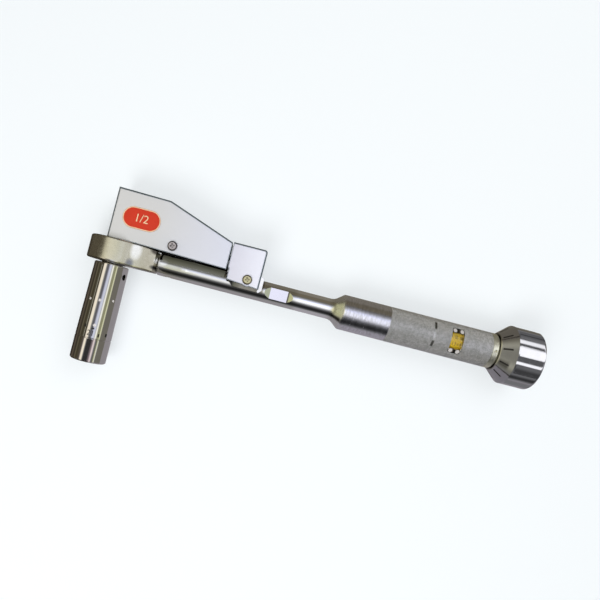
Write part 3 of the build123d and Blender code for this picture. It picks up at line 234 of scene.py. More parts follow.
def spot(tree, centre, reach, core):
    """Soft round mask, 1 at the centre and about 0 at the reach; it fades from the core on."""
    squares = []
    for part, middle, size in zip(tree.axes(), centre, reach):
        off = tree.math("DIVIDE", tree.minus(part, middle), size)
        squares.append(tree.times(off, off))
    return tree.spread(reduce(tree.plus, squares), core, 1.1, 1.0, 0.0)


def off_axis(tree, y):
    """Distance from the handle's centre-line along Y, with its sign."""
    return tree.minus(y, axis_mm)


def turn_of(tree, y, z):
    """Angle round the handle's centre-line in radians, from +Z toward +Y."""
    return tree.math("ARCTAN2", off_axis(tree, y), z)


# -------------------- shades
# Each one changes a base colour by the place on the part: stretches along X, spots with
# centre and reach, and turns round the handle's centre-line.
# Much of what they add is painted light and shade.
def rim_dark(node, radius, width, colour):
    """Shade that turns the rounded rim dark on a node's screws, which share one centre-line."""
    low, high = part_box(node)
    centre = (low + high) / 2 / MM

    def shade(tree, tone):
        x, y, _ = tree.axes()
        along = tree.math("POWER", tree.minus(x, centre.x), 2.0)
        across = tree.math("POWER", tree.minus(y, centre.y), 2.0)
        out = tree.math("SQRT", tree.plus(along, across))
        return tree.mix(tree.spread(out, radius - width, radius), tone, colour)
    return shade


def head_shade(tree, tone):
    """Forged head: neck darker and browner, painted highlights on its blend, painted shade in its
    corners.
    """
    x, y, _ = tree.axes()
    neck = tree.times(tree.spread(x, 20.5, 27), 0.8)
    tone = tree.mix(neck, tone, (0.50, 0.47, 0.37))
    spots = [
        ((18.4, 13.2, 14.5), (5.0, 8.2, 6), 0.2, WHITE),                # painted highlight on the blend of ring and neck
        ((15.6, 2.2, 15.0), (3.6, 4.6, 5), 0.1, (0.26, 0.27, 0.31)),    # painted shade at its foot
        ((34.6, 4.0, 8.5), (4.6, 2.2, 5), 0.1, grey(0.04)),             # painted shade below the tube
        ((33.5, 17.0, 9.0), (6.0, 3.4, 7), 0.3, (0.10, 0.09, 0.075)),   # painted shade under the cover
        ((35.4, 9.8, 8.5), (3.0, 3.0, 4), 0.1, WHITE),                  # painted glint ahead of the tube
    ]
    for centre, reach, core, colour in spots:
        tone = tree.mix(spot(tree, centre, reach, core), tone, colour)
    # painted shade along the side toward the socket
    socket_side = tree.spread(y, 0.0, 0.9, 0.75, 0.0)
    return tree.mix(socket_side, tone, (0.10, 0.10, 0.09))


def tube_shade(tree, tone):
    """Tube: painted reflections, highlights and shade along it, with worn patches on the wide part.
    """
    x, y, z = tree.axes()
    turn = turn_of(tree, y, z)
    normal_x, _, normal_z = tree.bare_normal()
    # painted reflection: a darker cream tint near the neck
    neck_tint = tree.times(tree.spread(x, 46, 66, 0.8, 0.0), tree.spread(x, 39, 44))
    tone = tree.mix(neck_tint, tone, (0.62, 0.62, 0.52))

    # The flat: painted reflections, green on the run-outs and lilac on the face, and a painted
    # shade step at its rear end.
    slope = tree.spread(tree.size(normal_x), 0.08, 0.2)
    run_outs = tree.times(slope, band(tree, x, 121.5, 147))
    tone = tree.mix(run_outs, tone, (0.46, 0.49, 0.36))
    level = tree.spread(tree.size(normal_z), 0.99, 0.999)
    face = tree.times(band(tree, x, 127.2, 141.4, 0.05), level)
    tone = tree.mix(tree.times(face, tree.spread(z, 7.3, 7.1)), tone, (0.68, 0.67, 0.78))
    step = tree.times(slope, band(tree, x, 141.0, 142.2, 0.5))
    tone = tree.mix(step, tone, (0.14, 0.14, 0.16))

    # The round part: painted highlight ahead of the flare, painted shade just behind the saddle.
    tone = tree.mix(band(tree, x, 150, 174, 4), tone, (0.92, 0.92, 0.95))
    behind = tree.times(band(tree, x, 117.5, 121, 1.2), band(tree, turn, -0.15, 1.2, 0.2))
    tone = tree.mix(tree.times(behind, 0.85), tone, (0.26, 0.24, 0.18))

    # The flare: a green painted reflection on top, a painted shadow under it.
    flare_tint = tree.times(band(tree, x, 179.5, 185.5, 4), band(tree, turn, -0.28, 0.42, 0.35))
    tone = tree.mix(tree.times(flare_tint, 0.9), tone, (0.70, 0.71, 0.52))
    flare_shadow = tree.times(band(tree, x, 178.5, 187.5, 2.5), band(tree, turn, -0.66, -0.52, 0.16))
    tone = tree.mix(flare_shadow, tone, (0.06, 0.055, 0.05))

    # The wide part has a lilac painted reflection tint and worn patches; a painted glint sits where
    # the tube leaves the neck.
    tone = tree.mix(tree.spread(x, 184, 189, 0.0, 0.85), tone, (0.86, 0.86, 0.97))
    tone = tree.mix(spot(tree, (40.0, 10.2, 9.5), (4.2, 3.0, 5), 0.1), tone, WHITE)
    patches = tree.noise(1.7, (1, 0.12, 0.12), detail=4, roughness=0.8)
    worn = tree.spread(tree.times(tree.spread(x, 182, 188), patches), 0.35, 0.62, 0.0, 0.45)
    return tree.mix(worn, tone, (0.34, 0.33, 0.31))


def saddle_shade(tree, tone):
    """Saddle: painted shade under the cover box with a lighter band, painted light on its lip
    behind it.
    """
    x = tree.axes()[0]
    tone = tree.mix(tree.spread(x, 96, 98, 1.0, 0.0), tone, grey(0.02))
    tone = tree.mix(band(tree, x, 103, 114, 5), tone, (0.22, 0.21, 0.18))
    return tree.mix(tree.spread(x, 116.4, 117.2), tone, (0.85, 0.85, 0.88))


def box_shade(centre, near, far, reach, ahead):
    """Shade for a cover box: painted dark reflection along the folds, painted shade inside.

    Its outer faces look away from the centre.  Their colour, a painted light gradient, goes
    from near to far over a reach along X; those facing -X take the painted shade ahead.
    """
    def shade(tree, _):
        places, normals = tree.axes(), tree.bare_normal()
        # painted light gradient along X
        tone = tree.mix(tree.spread(places[0], *reach), near, far)
        # painted dark reflection along the folds
        soft = tree.add("ShaderNodeBevel", samples=6)
        soft.inputs["Radius"].default_value = 1.6 * MM
        bent = tree.spread(tree.size(tree.split(soft.outputs[0])[2]), 0.995, 0.93)
        fold = tree.times(bent, tree.spread(tree.size(normals[2]), 0.1, 0.4))
        tone = tree.mix(fold, tone, (0.085, 0.12, 0.14))
        # painted shade on the faces that look toward -X
        tone = tree.mix(tree.spread(normals[0], -0.6, -0.9), tone, ahead)
        # painted shade on the inner faces
        outward = [tree.times(tree.minus(place, middle), normal)
                   for place, middle, normal in zip(places, centre, normals)]
        inside = tree.spread(reduce(tree.plus, outward), -1.0, 0.0, 1.0, 0.0)
        return tree.mix(inside, tone, (0.012, 0.012, 0.010))
    return shade


def skirt_shade(tree, _):
    """Foot of the far cover wall: cover colour outside; inside, painted shade at its ends and
    painted light in its middle.
    """
    skirt_inner_shade = tree.mix(band(tree, tree.axes()[0], 63, 76, 7), grey(0.010), (0.55, 0.55, 0.48))
    return tree.mix(tree.spread(tree.bare_normal()[2], -0.5, 0.5), (0.6, 0.6, 0.62), skirt_inner_shade)


def grip_shade(tree, _):
    """Knurled sleeve: blotches of wear, painted shade of notches along the seam between the
    sleeves.
    """
    x, y, z = tree.axes()
    turn = turn_of(tree, y, z)
    blotch = tree.noise(0.28, detail=3, roughness=0.7)
    fine = tree.noise(0.75, detail=2, roughness=0.6)
    worn = tree.spread(tree.plus(blotch, tree.times(fine, 0.8)), 0.72, 1.1)
    tone = tree.mix(worn, (0.70, 0.715, 0.72), (0.97, 0.97, 1.0))
    # painted shade of notches along the seam
    upper = band(tree, turn, math.radians(24), math.radians(46), 0.08)
    lower = band(tree, turn, math.radians(-36), math.radians(-20), 0.08)
    seam = band(tree, x, grip_seam - 0.9, grip_seam + 0.7, 0.3)
    notch_shade = tree.times(tree.plus(upper, lower), seam)
    return tree.mix(tree.times(notch_shade, 0.85), tone, (0.06, 0.055, 0.04))


def knob_shade(tree, tone):
    """Knob: painted light on its front rim, painted shade on it at both sides, a painted dark
    reflection on the cone.
    """
    x, y, z = tree.axes()
    # painted light: the front rim made pale
    rim = tree.spread(x, knob_front + 0.05, knob_front + 0.75, 0.9, 0.0)
    tone = tree.mix(rim, tone, (0.95, 0.92, 0.78))
    # painted dark reflection on the cone
    cone_dark_reflection = tree.times(band(tree, turn_of(tree, y, z), -0.52, -0.40, 0.16),
                       band(tree, x, knob_front + 1.15, knob_front + 6.15, 1.5))
    tone = tree.mix(tree.times(cone_dark_reflection, 0.75), tone, (0.05, 0.045, 0.05))
    # painted shade on the rim at both sides
    sides = tree.spread(tree.size(off_axis(tree, y)), 9.0, 11.5)
    return tree.mix(tree.times(rim, sides), tone, (0.04, 0.04, 0.035))


def collar_shade(tree, tone):
    """Collar: old polish left creamy, with painted shade at both sides of the gap to the knob."""
    x, y, _ = tree.axes()
    tone = tree.mix(tree.noise(0.5, detail=2), tone, (0.80, 0.79, 0.66))
    # painted shade at both sides of the gap to the knob
    sides = tree.spread(tree.size(off_axis(tree, y)), 8.5, 11.0)
    gap_shade = tree.times(sides, tree.spread(x, knob_front - 1.05, knob_front - 0.65))
    return tree.mix(gap_shade, tone, (0.03, 0.03, 0.025))


# -------------------- kinds of material
def base_colour(tree, shader, colour, scale, fade, corner_reach, shade):
    """Cloudy base colour, shaded by place, with a greasy film and painted shade in corners and
    recesses.

    The clouds have a scale and fade the colour; the darkening reaches out to corner_reach
    millimetres.
    The colour is None where the shade gives all of it.
    """
    tone = None
    if colour:
        tone = tree.mix(tree.noise(scale, detail=4), colour, [c * fade for c in colour])
    if shade:
        tone = shade(tree, tone)
    # Painted shade with a greasy film: ambient occlusion darkens corners and recesses.
    corner = tree.add("ShaderNodeAmbientOcclusion", samples=8)
    corner.inputs["Distance"].default_value = corner_reach * MM
    greasy_shade = tree.times(tree.spread(corner.outputs["AO"], 0.25, 0.8, 0.9, 0.0),
                        tree.spread(tree.noise(0.7), 0.3, 0.6, 0.6, 1.0))
    tree.link(tree.mix(greasy_shade, tone, GREASY_SHADE), shader.inputs["Base Color"])


def bumped(tree, shader, height, strength, depth, edge):
    """Bump over softened edges; its depth and the edge's radius are in millimetres."""
    soft = tree.add("ShaderNodeBevel", samples=4)
    soft.inputs["Radius"].default_value = edge * MM
    bump = tree.add("ShaderNodeBump")
    bump.inputs["Distance"].default_value = depth * MM
    tree.put(bump.inputs["Strength"], strength)
    tree.link(height, bump.inputs["Height"])
    tree.link(soft.outputs[0], bump.inputs["Normal"])
    tree.link(bump.outputs[0], shader.inputs["Normal"])


def metal(name, colour, rough, grain=(1, 1, 1), scratch=0.02, smudge=0.3, corner_reach=1.2, shade=None):
    """Bare or plated metal: brushed grain, smudges in the gloss and softened edges."""
    mat, tree, shader = surface(name)
    base_colour(tree, shader, colour, 0.12, 0.86, corner_reach, shade)
    shader.inputs["Metallic"].default_value = 1.0
    brushed = tree.noise(3.0, grain, detail=5, roughness=0.7)
    smears = tree.noise(0.35, detail=3)
    gloss = tree.plus(
        tree.spread(smears, 0.35, 0.7, rough * (1 - smudge), rough * (1 + smudge)),
        tree.spread(brushed, 0.3, 0.7, -0.15 * rough, 0.25 * rough))
    tree.link(gloss, shader.inputs["Roughness"])
    bumped(tree, shader, brushed, scratch, 0.1, 0.25)
    return mat


def painted(name, colour, rough, grain=0.04, speck=0.05, metallic=0.0, specular=0.5, shade=None):
    """Satin coating on sheet metal: fine orange peel, faint clouds and softened edges."""
    mat, tree, shader = surface(name)
    base_colour(tree, shader, colour, 0.08, 1 - speck, 0.8, shade)
    shader.inputs["Metallic"].default_value = metallic
    shader.inputs["Specular IOR Level"].default_value = specular
    smears = tree.noise(0.5, detail=4)
    gloss = tree.spread(smears, 0.3, 0.7, rough * 0.88, rough * 1.12)
    tree.link(gloss, shader.inputs["Roughness"])
    bumped(tree, shader, tree.noise(4.0, detail=2), grain, 0.05, 0.3)
    return mat


def turned_chrome(name, colour, rough):
    """Chrome over a turned tube: mirror smooth in front, open tool rings on the wide part.

    The seats under the window's four studs are bare of it.
    """
    mat, tree, shader = surface(name)
    base_colour(tree, shader, colour, 0.1, 0.9, 1.2, tube_shade)
    x, y, z = tree.axes()
    studs_low, studs_high = [corner.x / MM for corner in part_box("window_pins")]
    pairs = tree.plus(band(tree, x, studs_low - 0.4, studs_low + 2.7, 0.3),
                      band(tree, x, studs_high - 2.7, studs_high + 0.4, 0.3))
    sides = tree.spread(tree.size(off_axis(tree, y)), 6.2, 6.6)
    seats = tree.times(pairs, tree.times(sides, tree.spread(z, 4, 5)))
    tree.link(tree.minus(1.0, seats), shader.inputs["Metallic"])

    wide = tree.spread(x, 184, 190)
    smears = tree.noise(0.3, detail=3)
    smooth = tree.spread(smears, 0.35, 0.7, rough * 0.8, rough * 1.4)
    smooth = tree.plus(smooth, tree.times(band(tree, x, 178.5, 187, 3), 0.16))
    rubbed = tree.noise(0.5, (1.2, 0.25, 0.25), detail=5, roughness=0.7)
    coarse = tree.spread(rubbed, 0.3, 0.7, rough * 1.2, rough * 2.8)
    gloss = tree.plus(tree.times(smooth, tree.minus(1.0, wide)), tree.times(coarse, wide))
    tree.link(gloss, shader.inputs["Roughness"])

    rings = tree.noise(1.1, (1, 0.45, 0.45), detail=6, roughness=0.8)
    height = tree.plus(rings, tree.times(rubbed, 0.6))
    bumped(tree, shader, height, tree.spread(wide, 0, 1, 0.02, 0.42), 0.1, 0.25)
    return mat


def clear_lens(name):
    """Thin clear window with a faint yellow cast."""
    mat, tree, shader = surface(name)
    tree.paint(shader.inputs["Base Color"], (1.0, 0.97, 0.88))
    shader.inputs["Transmission Weight"].default_value = 1.0
    shader.inputs["IOR"].default_value = 1.2
    tree.link(tree.spread(tree.noise(0.6), 0.4, 0.7, 0.02, 0.08), shader.inputs["Roughness"])
    return mat


# -------------------- finishes
# Cover boxes: painted light gradients and painted shade; the end cover's front is painted shade in
# the seam.
front_box = box_shade((41, 28, 0), (0.60, 0.605, 0.62), (0.64, 0.66, 0.75), (30, 86),
                      (0.58, 0.585, 0.60))
end_box = box_shade((103, 24, 0), (0.62, 0.62, 0.70), (0.77, 0.78, 0.86), (91, 117),
                    (0.03, 0.035, 0.04))
front_screw_rim = rim_dark("front_cover_screws", 3.1, 0.5, (0.07, 0.055, 0.055))
end_screw_rim = rim_dark("end_cover_screws", 3.3, 0.9, (0.16, 0.135, 0.075))
metals = {
    "satin_nickel": dict(
        colour=NICKEL, rough=0.26, grain=(0.15, 1, 1), scratch=0.05, shade=head_shade),
    "plate_nickel": dict(colour=NICKEL, rough=0.26, grain=(0.15, 1, 1), scratch=0.05),
    "socket_chrome": dict(colour=(0.74, 0.73, 0.72), rough=0.05, grain=(1, 0.08, 1), corner_reach=0.6),
    "dark_chrome": dict(
        colour=(0.50, 0.50, 0.53), rough=0.10, grain=(0.2, 1, 1), corner_reach=0.25, shade=knob_shade),
    "knurled_chrome": dict(
        colour=None, rough=0.42, scratch=0.15, smudge=0.2, corner_reach=0.35, shade=grip_shade),
    # dark colour: painted shade under the cover box
    "saddle_steel": dict(colour=(0.12, 0.12, 0.09), rough=0.25, shade=saddle_shade),
    "collar_nickel": dict(
        colour=(0.80, 0.80, 0.66), rough=0.42, grain=(1, 0.1, 0.1), scratch=0.03, corner_reach=0.05,
        shade=collar_shade),
    "zinc_screw": dict(colour=(0.58, 0.54, 0.34), rough=0.26, corner_reach=1.7, shade=end_screw_rim),
    "plated_screw": dict(
        colour=(0.50, 0.455, 0.45), rough=0.26, corner_reach=1.7, shade=front_screw_rim),
    "plain_screw": dict(colour=(0.52, 0.50, 0.48), rough=0.26, corner_reach=1.6),
    "tool_steel": dict(colour=grey(0.30), rough=0.3),
    "spring_steel": dict(colour=(0.22, 0.22, 0.24), rough=0.28),
    "bearing_bronze": dict(colour=(0.62, 0.40, 0.18), rough=0.3),
}
coats = {
    "cover_silver": dict(colour=None, rough=0.34, metallic=0.5, shade=front_box),
    "skirt_paint": dict(colour=None, rough=0.4, metallic=0.45, shade=skirt_shade),
    "end_silver": dict(colour=None, rough=0.32, metallic=0.5, shade=end_box),
    "label_red": dict(colour=(0.58, 0.035, 0.012), rough=0.4, speck=0.25, specular=0.2),
    "label_cream": dict(colour=(0.84, 0.58, 0.36), rough=0.5, speck=0.2, specular=0.2),
    "scale_yellow": dict(colour=(0.62, 0.44, 0.01), rough=0.4, speck=0.3),
    "scale_ink": dict(colour=(0.10, 0.055, 0.01), rough=0.5),
    "black_paint": dict(colour=(0.012, 0.011, 0.010), rough=0.45),
    # Pale: on the window's studs and the socket's dots it is a painted highlight.
    "stud_nickel": dict(colour=(0.70, 0.67, 0.66), rough=0.35, metallic=0.3),
    "ink_body": dict(colour=(0.80, 0.80, 0.76), rough=0.3),
    "ink_felt": dict(colour=(0.45, 0.04, 0.03), rough=0.9, grain=0.4),
}
finishes = {name: metal(name, **look) for name, look in metals.items()}
finishes.update({name: painted(name, **look) for name, look in coats.items()})
finishes["bright_chrome"] = turned_chrome("bright_chrome", (0.74, 0.74, 0.73), 0.10)
finishes["lens_clear"] = clear_lens("lens_clear")

# A node wears the finish named like its material slot, unless it is listed here.
slot_of = {part["node"]: part["material_slot"] for part in frame["record"]["subparts"]}
finish_of = {
    "end_cover": "end_silver", "deep_socket": "socket_chrome", "saddle_clamp": "saddle_steel",
    "window_pins": "stud_nickel", "head_plate": "plate_nickel", "head_plate_screws": "plain_screw",
    "saddle_screws": "plain_screw", "bracket_screws": "plain_screw",
}


def dress(piece, finish):
    """Give a piece one finish."""
    piece.data.materials.clear()
    piece.data.materials.append(finishes[finish])


for node_name, node in nodes.items():
    dress(node, finish_of.get(node_name, slot_of[node_name]))


# -------------------- mesh helpers
def new_piece(name, verts, faces, finish, body, smooth=True):
    """Mesh object from points and faces, dressed; it rides on its body where it has one."""
    mesh = bpy.data.meshes.new(name)
    mesh.from_pydata(verts, [], faces)
    mesh.update()
    piece = bpy.data.objects.new(name, mesh)
    bpy.context.scene.collection.objects.link(piece)
    for face in mesh.polygons:
        face.use_smooth = smooth
    dress(piece, finish)
    if body:
        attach(piece, body)
    return piece


def letter(k):
    """Letter that ends a numbered piece's name, a for 0."""
    return chr(ord("a") + k)


# -------------------- knurled sleeves
KNURL_PITCH = 1.15 * MM
KNURL_DEPTH = 0.28 * MM
KNURL_FLAT = 0.42        # a diamond's flat top, as a share of its base
SLEEVE_WALL = 1.4 * MM
WINDOW_CLEARANCE = 0.04 * MM
WINDOW_CORNER = 1.6 * MM
WINDOW_CUT_TOP = 0.02    # above the sleeve


def round_handle(x, radius, angle):
    """Point about the handle's centre-line; angle runs from +Z toward +Y."""
    return (x, axis_y + radius * math.sin(angle), radius * math.cos(angle))


def knurled_sleeve(name, node, ahead, behind):
    """Sleeve with a diamond knurl: each diamond is a pyramid with a flat top.

    It reaches ahead of the grip it stands for, and behind it, by that many millimetres.
    """
    low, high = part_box(node)
    low.x, high.x = low.x - ahead * MM, high.x + behind * MM
    around = 4 * round(math.pi * grip_radius / KNURL_PITCH)
    rows = round((high.x - low.x) / (KNURL_PITCH / 2))
    step = (high.x - low.x) / rows
    root, bore = grip_radius - KNURL_DEPTH, grip_radius - SLEEVE_WALL
    verts, faces, corner = [], [], {}

    def add(i, j, radius):
        """New point of the grid at a radius; gives its number."""
        verts.append(round_handle(low.x + j * step, radius, 2 * math.pi * i / around))
        return len(verts) - 1

    # Valleys cross at every second point of the grid; a diamond stands on each of the others.
    for j in range(rows + 1):
        for i in range(j % 2, around, 2):
            corner[i, j] = add(i, j, root)
    for j in range(1, rows):
        for i in range((j + 1) % 2, around, 2):
            ring = [((i - 1) % around, j), (i, j - 1), ((i + 1) % around, j), (i, j + 1)]
            base = [corner[key] for key in ring]
            top = [add(i + di * KNURL_FLAT, j + dj * KNURL_FLAT, grip_radius)
                   for di, dj in ((-1, 0), (0, -1), (1, 0), (0, 1))]
            for k in range(4):
                n = (k + 1) % 4
                faces.append((base[k], base[n], top[n], top[k]))
            faces.append(tuple(top))
    for j, inner_j in ((0, 1), (rows, rows - 1)):
        for i in range((j + 1) % 2, around, 2):
            left, right = corner[(i - 1) % around, j], corner[(i + 1) % around, j]
            tip = corner[i, inner_j]
            faces.append((left, right, tip) if j else (right, left, tip))

    # The end rings and the bore.
    rings = {}
    for j in (0, rows):
        rings[j] = list(range(j % 2, around, 2))
        for i in rings[j]:
            corner[i, "bore", j] = add(i, j, bore)
    for j, ring in rings.items():
        for a, b in zip(ring, ring[1:] + ring[:1]):
            quad = (corner[a, j], corner[b, j], corner[b, "bore", j], corner[a, "bore", j])
            faces.append(quad if j else quad[::-1])
    shift = rows % 2
    for a, b in zip(rings[0], rings[0][1:] + rings[0][:1]):
        c, d = (a + shift) % around, (b + shift) % around
        faces.append((corner[a, "bore", 0], corner[b, "bore", 0],
                      corner[d, "bore", rows], corner[c, "bore", rows]))
    piece = new_piece(
        name, verts, faces, "knurled_chrome", "handle", smooth=False)
    bm = bmesh.new()
    bm.from_mesh(piece.data)
    bmesh.ops.recalc_face_normals(bm, faces=bm.faces)
    bm.to_mesh(piece.data)
    bm.free()
    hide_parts(node)
    return piece


def rounded_prism(name, centre, size, corner, low_z, high_z):
    """Upright block with rounded corners, standing along Z."""
    steps = 6
    outline = []
    for qx, qy, start in ((1, 1, 0), (-1, 1, 90), (-1, -1, 180), (1, -1, 270)):
        cx = centre[0] + qx * (size[0] / 2 - corner)
        cy = centre[1] + qy * (size[1] / 2 - corner)
        for s in range(steps + 1):
            turn = math.radians(start + 90 * s / steps)
            outline.append((cx + corner * math.cos(turn), cy + corner * math.sin(turn)))
    count = len(outline)
    verts = [(x, y, low_z) for x, y in outline] + [(x, y, high_z) for x, y in outline]
    faces = [tuple(range(count))[::-1], tuple(range(count, 2 * count))]
    faces += [(i, (i + 1) % count, count + (i + 1) % count, count + i) for i in range(count)]
    mesh = bpy.data.meshes.new(name)
    mesh.from_pydata(verts, [], faces)
    piece = bpy.data.objects.new(name, mesh)
    bpy.context.scene.collection.objects.link(piece)
    return piece


def cut(piece, cutter):
    """Take a closed mesh away from a piece, and throw the cutter away."""
    boolean = piece.modifiers.new("cut", "BOOLEAN")
    boolean.operation = "DIFFERENCE"
    boolean.solver = "EXACT"
    boolean.object = cutter
    bpy.context.view_layer.update()
    shown = piece.evaluated_get(bpy.context.evaluated_depsgraph_get())
    result = bpy.data.meshes.new_from_object(shown)
    piece.modifiers.clear()
    piece.data = result
    bpy.data.objects.remove(cutter)


# Each sleeve reaches a little into the seam between the two.
knurled_sleeve("front_sleeve", "front_grip", 0, 0.12)
rear_sleeve = knurled_sleeve("rear_sleeve", "rear_grip", 0.12, 0)
window_size = [side + WINDOW_CLEARANCE for side in lens_high - lens_low]
cut(rear_sleeve, rounded_prism(
    "window_cut", (window_x, axis_y), window_size, WINDOW_CORNER, 0, WINDOW_CUT_TOP))


# -------------------- springs
def coil_spring(name, node, along, wire, turns, trim=0.0, closed=False):
    """Round-wire coil in the place of a CAD spring.

    along is the axis (0 for X, 1 for Y), trim takes room off the low end, and a closed coil
    has a flat turn at each end.
    """
    low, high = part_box(node)
    side, up = (1, 2) if along == 0 else (2, 0)
    centre = (low + high) / 2
    wire_radius = wire * MM / 2
    radius = (high[up] - low[up]) / 2 - wire_radius
    start = low[along] + (trim + wire / 2) * MM
    stop = high[along] - wire_radius
    flat_turn = 1.06 * wire * MM if closed else (stop - start) / turns
    middle_turn = (stop - start - 2 * flat_turn) / (turns - 2)
    around, per_turn = 12, 32
    steps = turns * per_turn

    def at(s):
        """Point of the wire's centre-line after some steps."""
        turn = s / per_turn
        first = min(turn, 1.0)
        last = max(turn - (turns - 1), 0.0)
        point = Vector(centre)
        point[along] = start + flat_turn * (first + last) + middle_turn * (turn - first - last)
        point[side] += radius * math.cos(2 * math.pi * turn)
        point[up] += radius * math.sin(2 * math.pi * turn)
        return point

    verts, faces = [], []
    for s in range(steps + 1):
        point = at(s)
        outward = point - centre
        outward[along] = 0
        outward.normalize()
        heading = (at(min(s + 1, steps)) - at(max(s - 1, 0))).normalized()
        across = heading.cross(outward)
        for k in range(around):
            turn = 2 * math.pi * k / around
            verts.append(point + (outward * math.cos(turn) + across * math.sin(turn)) * wire_radius)
    for s in range(steps):
        a, b = s * around, (s + 1) * around
        for k in range(around):
            n = (k + 1) % around
            faces.append((a + k, a + n, b + n, b + k))
    faces.append(tuple(range(around))[::-1])
    faces.append(tuple(range(steps * around, (steps + 1) * around)))
    piece = new_piece(name, verts, faces, "spring_steel", None)
    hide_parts(node)
    first_end, last_end = Vector(centre), Vector(centre)
    first_end[along], last_end[along] = start, stop
    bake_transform(piece)


coil_spring("main_coil", "main_spring", 0, 3.2, 9, trim=0.75)
coil_spring("return_coil", "return_spring", 1, 0.8, 5, closed=True)
coil_spring("marker_coil", "marker_spring", 1, 0.9, 5)
coil_spring("pawl_coil", "pawl_spring", 0, 0.35, 8)


# -------------------- marks
def laid(name, points, faces, low, high, place, finish, body, slot):
    """Thin closed plate of a flat outline, laid between two heights on a surface.

    The surface is given by place, which turns an outline's point and a height into a point
    of the part, all in millimetres.
    """
    verts = [[c * MM for c in place(u, v, level)] for level in (low, high) for u, v in points]
    count = len(points)
    sides = {}
    for face in faces:
        for a, b in zip(face, face[1:] + face[:1]):
            sides[a, b] = sides.get((b, a)) is None
            if not sides[a, b]:
                sides[b, a] = False
    rim = [(a, b, b + count, a + count) for (a, b), outer in sides.items() if outer]
    lower = [tuple(reversed(face)) for face in faces]
    upper = [tuple(i + count for i in face) for face in faces]
    new_piece(name, verts, lower + upper + rim, finish, body, smooth=False)


def lettered(text, size, cuts=0.6):
    """Outline points and faces of a short text, centred, cut so that it can bend."""
    curve = bpy.data.curves.new("text", "FONT")
    curve.body = text
    curve.size = size
    curve.align_x = "CENTER"
    curve.align_y = "CENTER"
    curve.resolution_u = 3
    holder = bpy.data.objects.new("text", curve)
    bpy.context.scene.collection.objects.link(holder)
    bpy.context.view_layer.update()
    mesh = bpy.data.meshes.new_from_object(holder)
    bpy.data.objects.remove(holder)
    bm = bmesh.new()
    bm.from_mesh(mesh)
    bmesh.ops.remove_doubles(bm, verts=bm.verts, dist=size * 1e-4)
    lines = 12      # cut on each side of the middle
    for k in range(-lines, lines + 1):
        for point, direction in (((0, k * cuts, 0), (0, 1, 0)), ((k * cuts, 0, 0), (1, 0, 0))):
            everything = bm.verts[:] + bm.edges[:] + bm.faces[:]
            bmesh.ops.bisect_plane(bm, geom=everything, plane_co=point, plane_no=direction)
    bm.verts.index_update()
    points = [(v.co.x, v.co.y) for v in bm.verts]
    faces = [tuple(v.index for v in face.verts) for face in bm.faces]
    bm.free()
    return points, faces


def bar(width, height):
    """Outline points and faces of a plain line, cut so that it can bend."""
    cuts = 5
    points = [(width * (i / cuts - 0.5), height * (j / cuts - 0.5))
              for j in range(cuts + 1) for i in range(cuts + 1)]
    row = cuts + 1
    corners = [j * row + i for j in range(cuts) for i in range(cuts)]
    return points, [(c, c + 1, c + row + 1, c + row) for c in corners]


def on_handle(x, turn):
    """Surface round the handle's centre-line: u runs along X, v round it, from +Z toward +Y."""
    def place(u, v, radius):
        angle = turn + v / radius
        return x + u, axis_mm + radius * math.sin(angle), radius * math.cos(angle)
    return place


def on_socket(y, turn):
    """Surface round the socket: u runs round it, from +Z toward +X, v along Y."""
    def place(u, v, radius):
        angle = turn + u / radius
        return radius * math.sin(angle), y + v, radius * math.cos(angle)
    return place


def on_plane(x, y):
    """Level surface: u runs along X and v along Y from one point, and the height along Z."""
    return lambda u, v, z: (x + u, y + v, z)


# The far wall of the cover box reaches down to the tube's upper edge and back to the end cover; its
# dark inside is painted shade.
skirt_ahead, skirt_rear, seam_rear = 34, 88.8, 90.15
skirt_foot, rear_top, ahead_top, seam_top = 16.8, 18.0, 24.5, 30
skirt_outline = [
    (skirt_ahead, skirt_foot), (skirt_rear, skirt_foot), (skirt_rear, rear_top),
    (skirt_ahead, ahead_top), (seam_rear, skirt_foot), (seam_rear, rear_top),
    (seam_rear, seam_top), (skirt_rear, seam_top),
]
skirt_faces = [(0, 1, 2, 3), (1, 4, 5, 2), (2, 5, 6, 7)]
skirt_skin = (-14.8, -14.0)      # inside the wall's thickness
laid("cover_skirt", skirt_outline, skirt_faces, *skirt_skin, on_plane(0, 0), "skirt_paint", "head",
     "cover_silver")

# Lines and numbers on the scale under the window: every second line is tall and has a number.
SCALE_PITCH, MIDDLE_SETTING, SETTING_STEP = 2.0, 60, 10
LINE_TURN, NUMBER_TURN = math.radians(-13), math.radians(16)
scale_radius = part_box("scale_plate")[1].z / MM
scale_skin = (scale_radius - 0.05, scale_radius + 0.05)
for step in range(-4, 5):
    mark_x = window_x / MM + step * SCALE_PITCH
    numbered = step % 2 == 0
    laid("scale_line_" + letter(step + 4), *bar(0.45, 3.4 if numbered else 2.0), *scale_skin,
         on_handle(mark_x, LINE_TURN), "scale_ink", "nut", "scale_yellow")
    if numbered:
        points, faces = lettered(str(MIDDLE_SETTING + SETTING_STEP * step), 3.0, 0.4)
        laid("scale_number_" + letter(step + 4), [(-v, u) for u, v in points], faces, *scale_skin,
             on_handle(mark_x, NUMBER_TURN), "scale_ink", "nut", "scale_yellow")

# Index lines round the knob's cone, in step with its flutes.
CONE_RADIUS, CONE_SLOPE = 14.8, 0.8614       # at the knob's front, and what it gains per mm
LINE_START, LINE_LENGTH, LINE_WIDTH = knob_front + 1.35, 5.6, 1.4
KNOB_LINES, FIRST_TURN = 10, 11.5            # the first line's turn in degrees


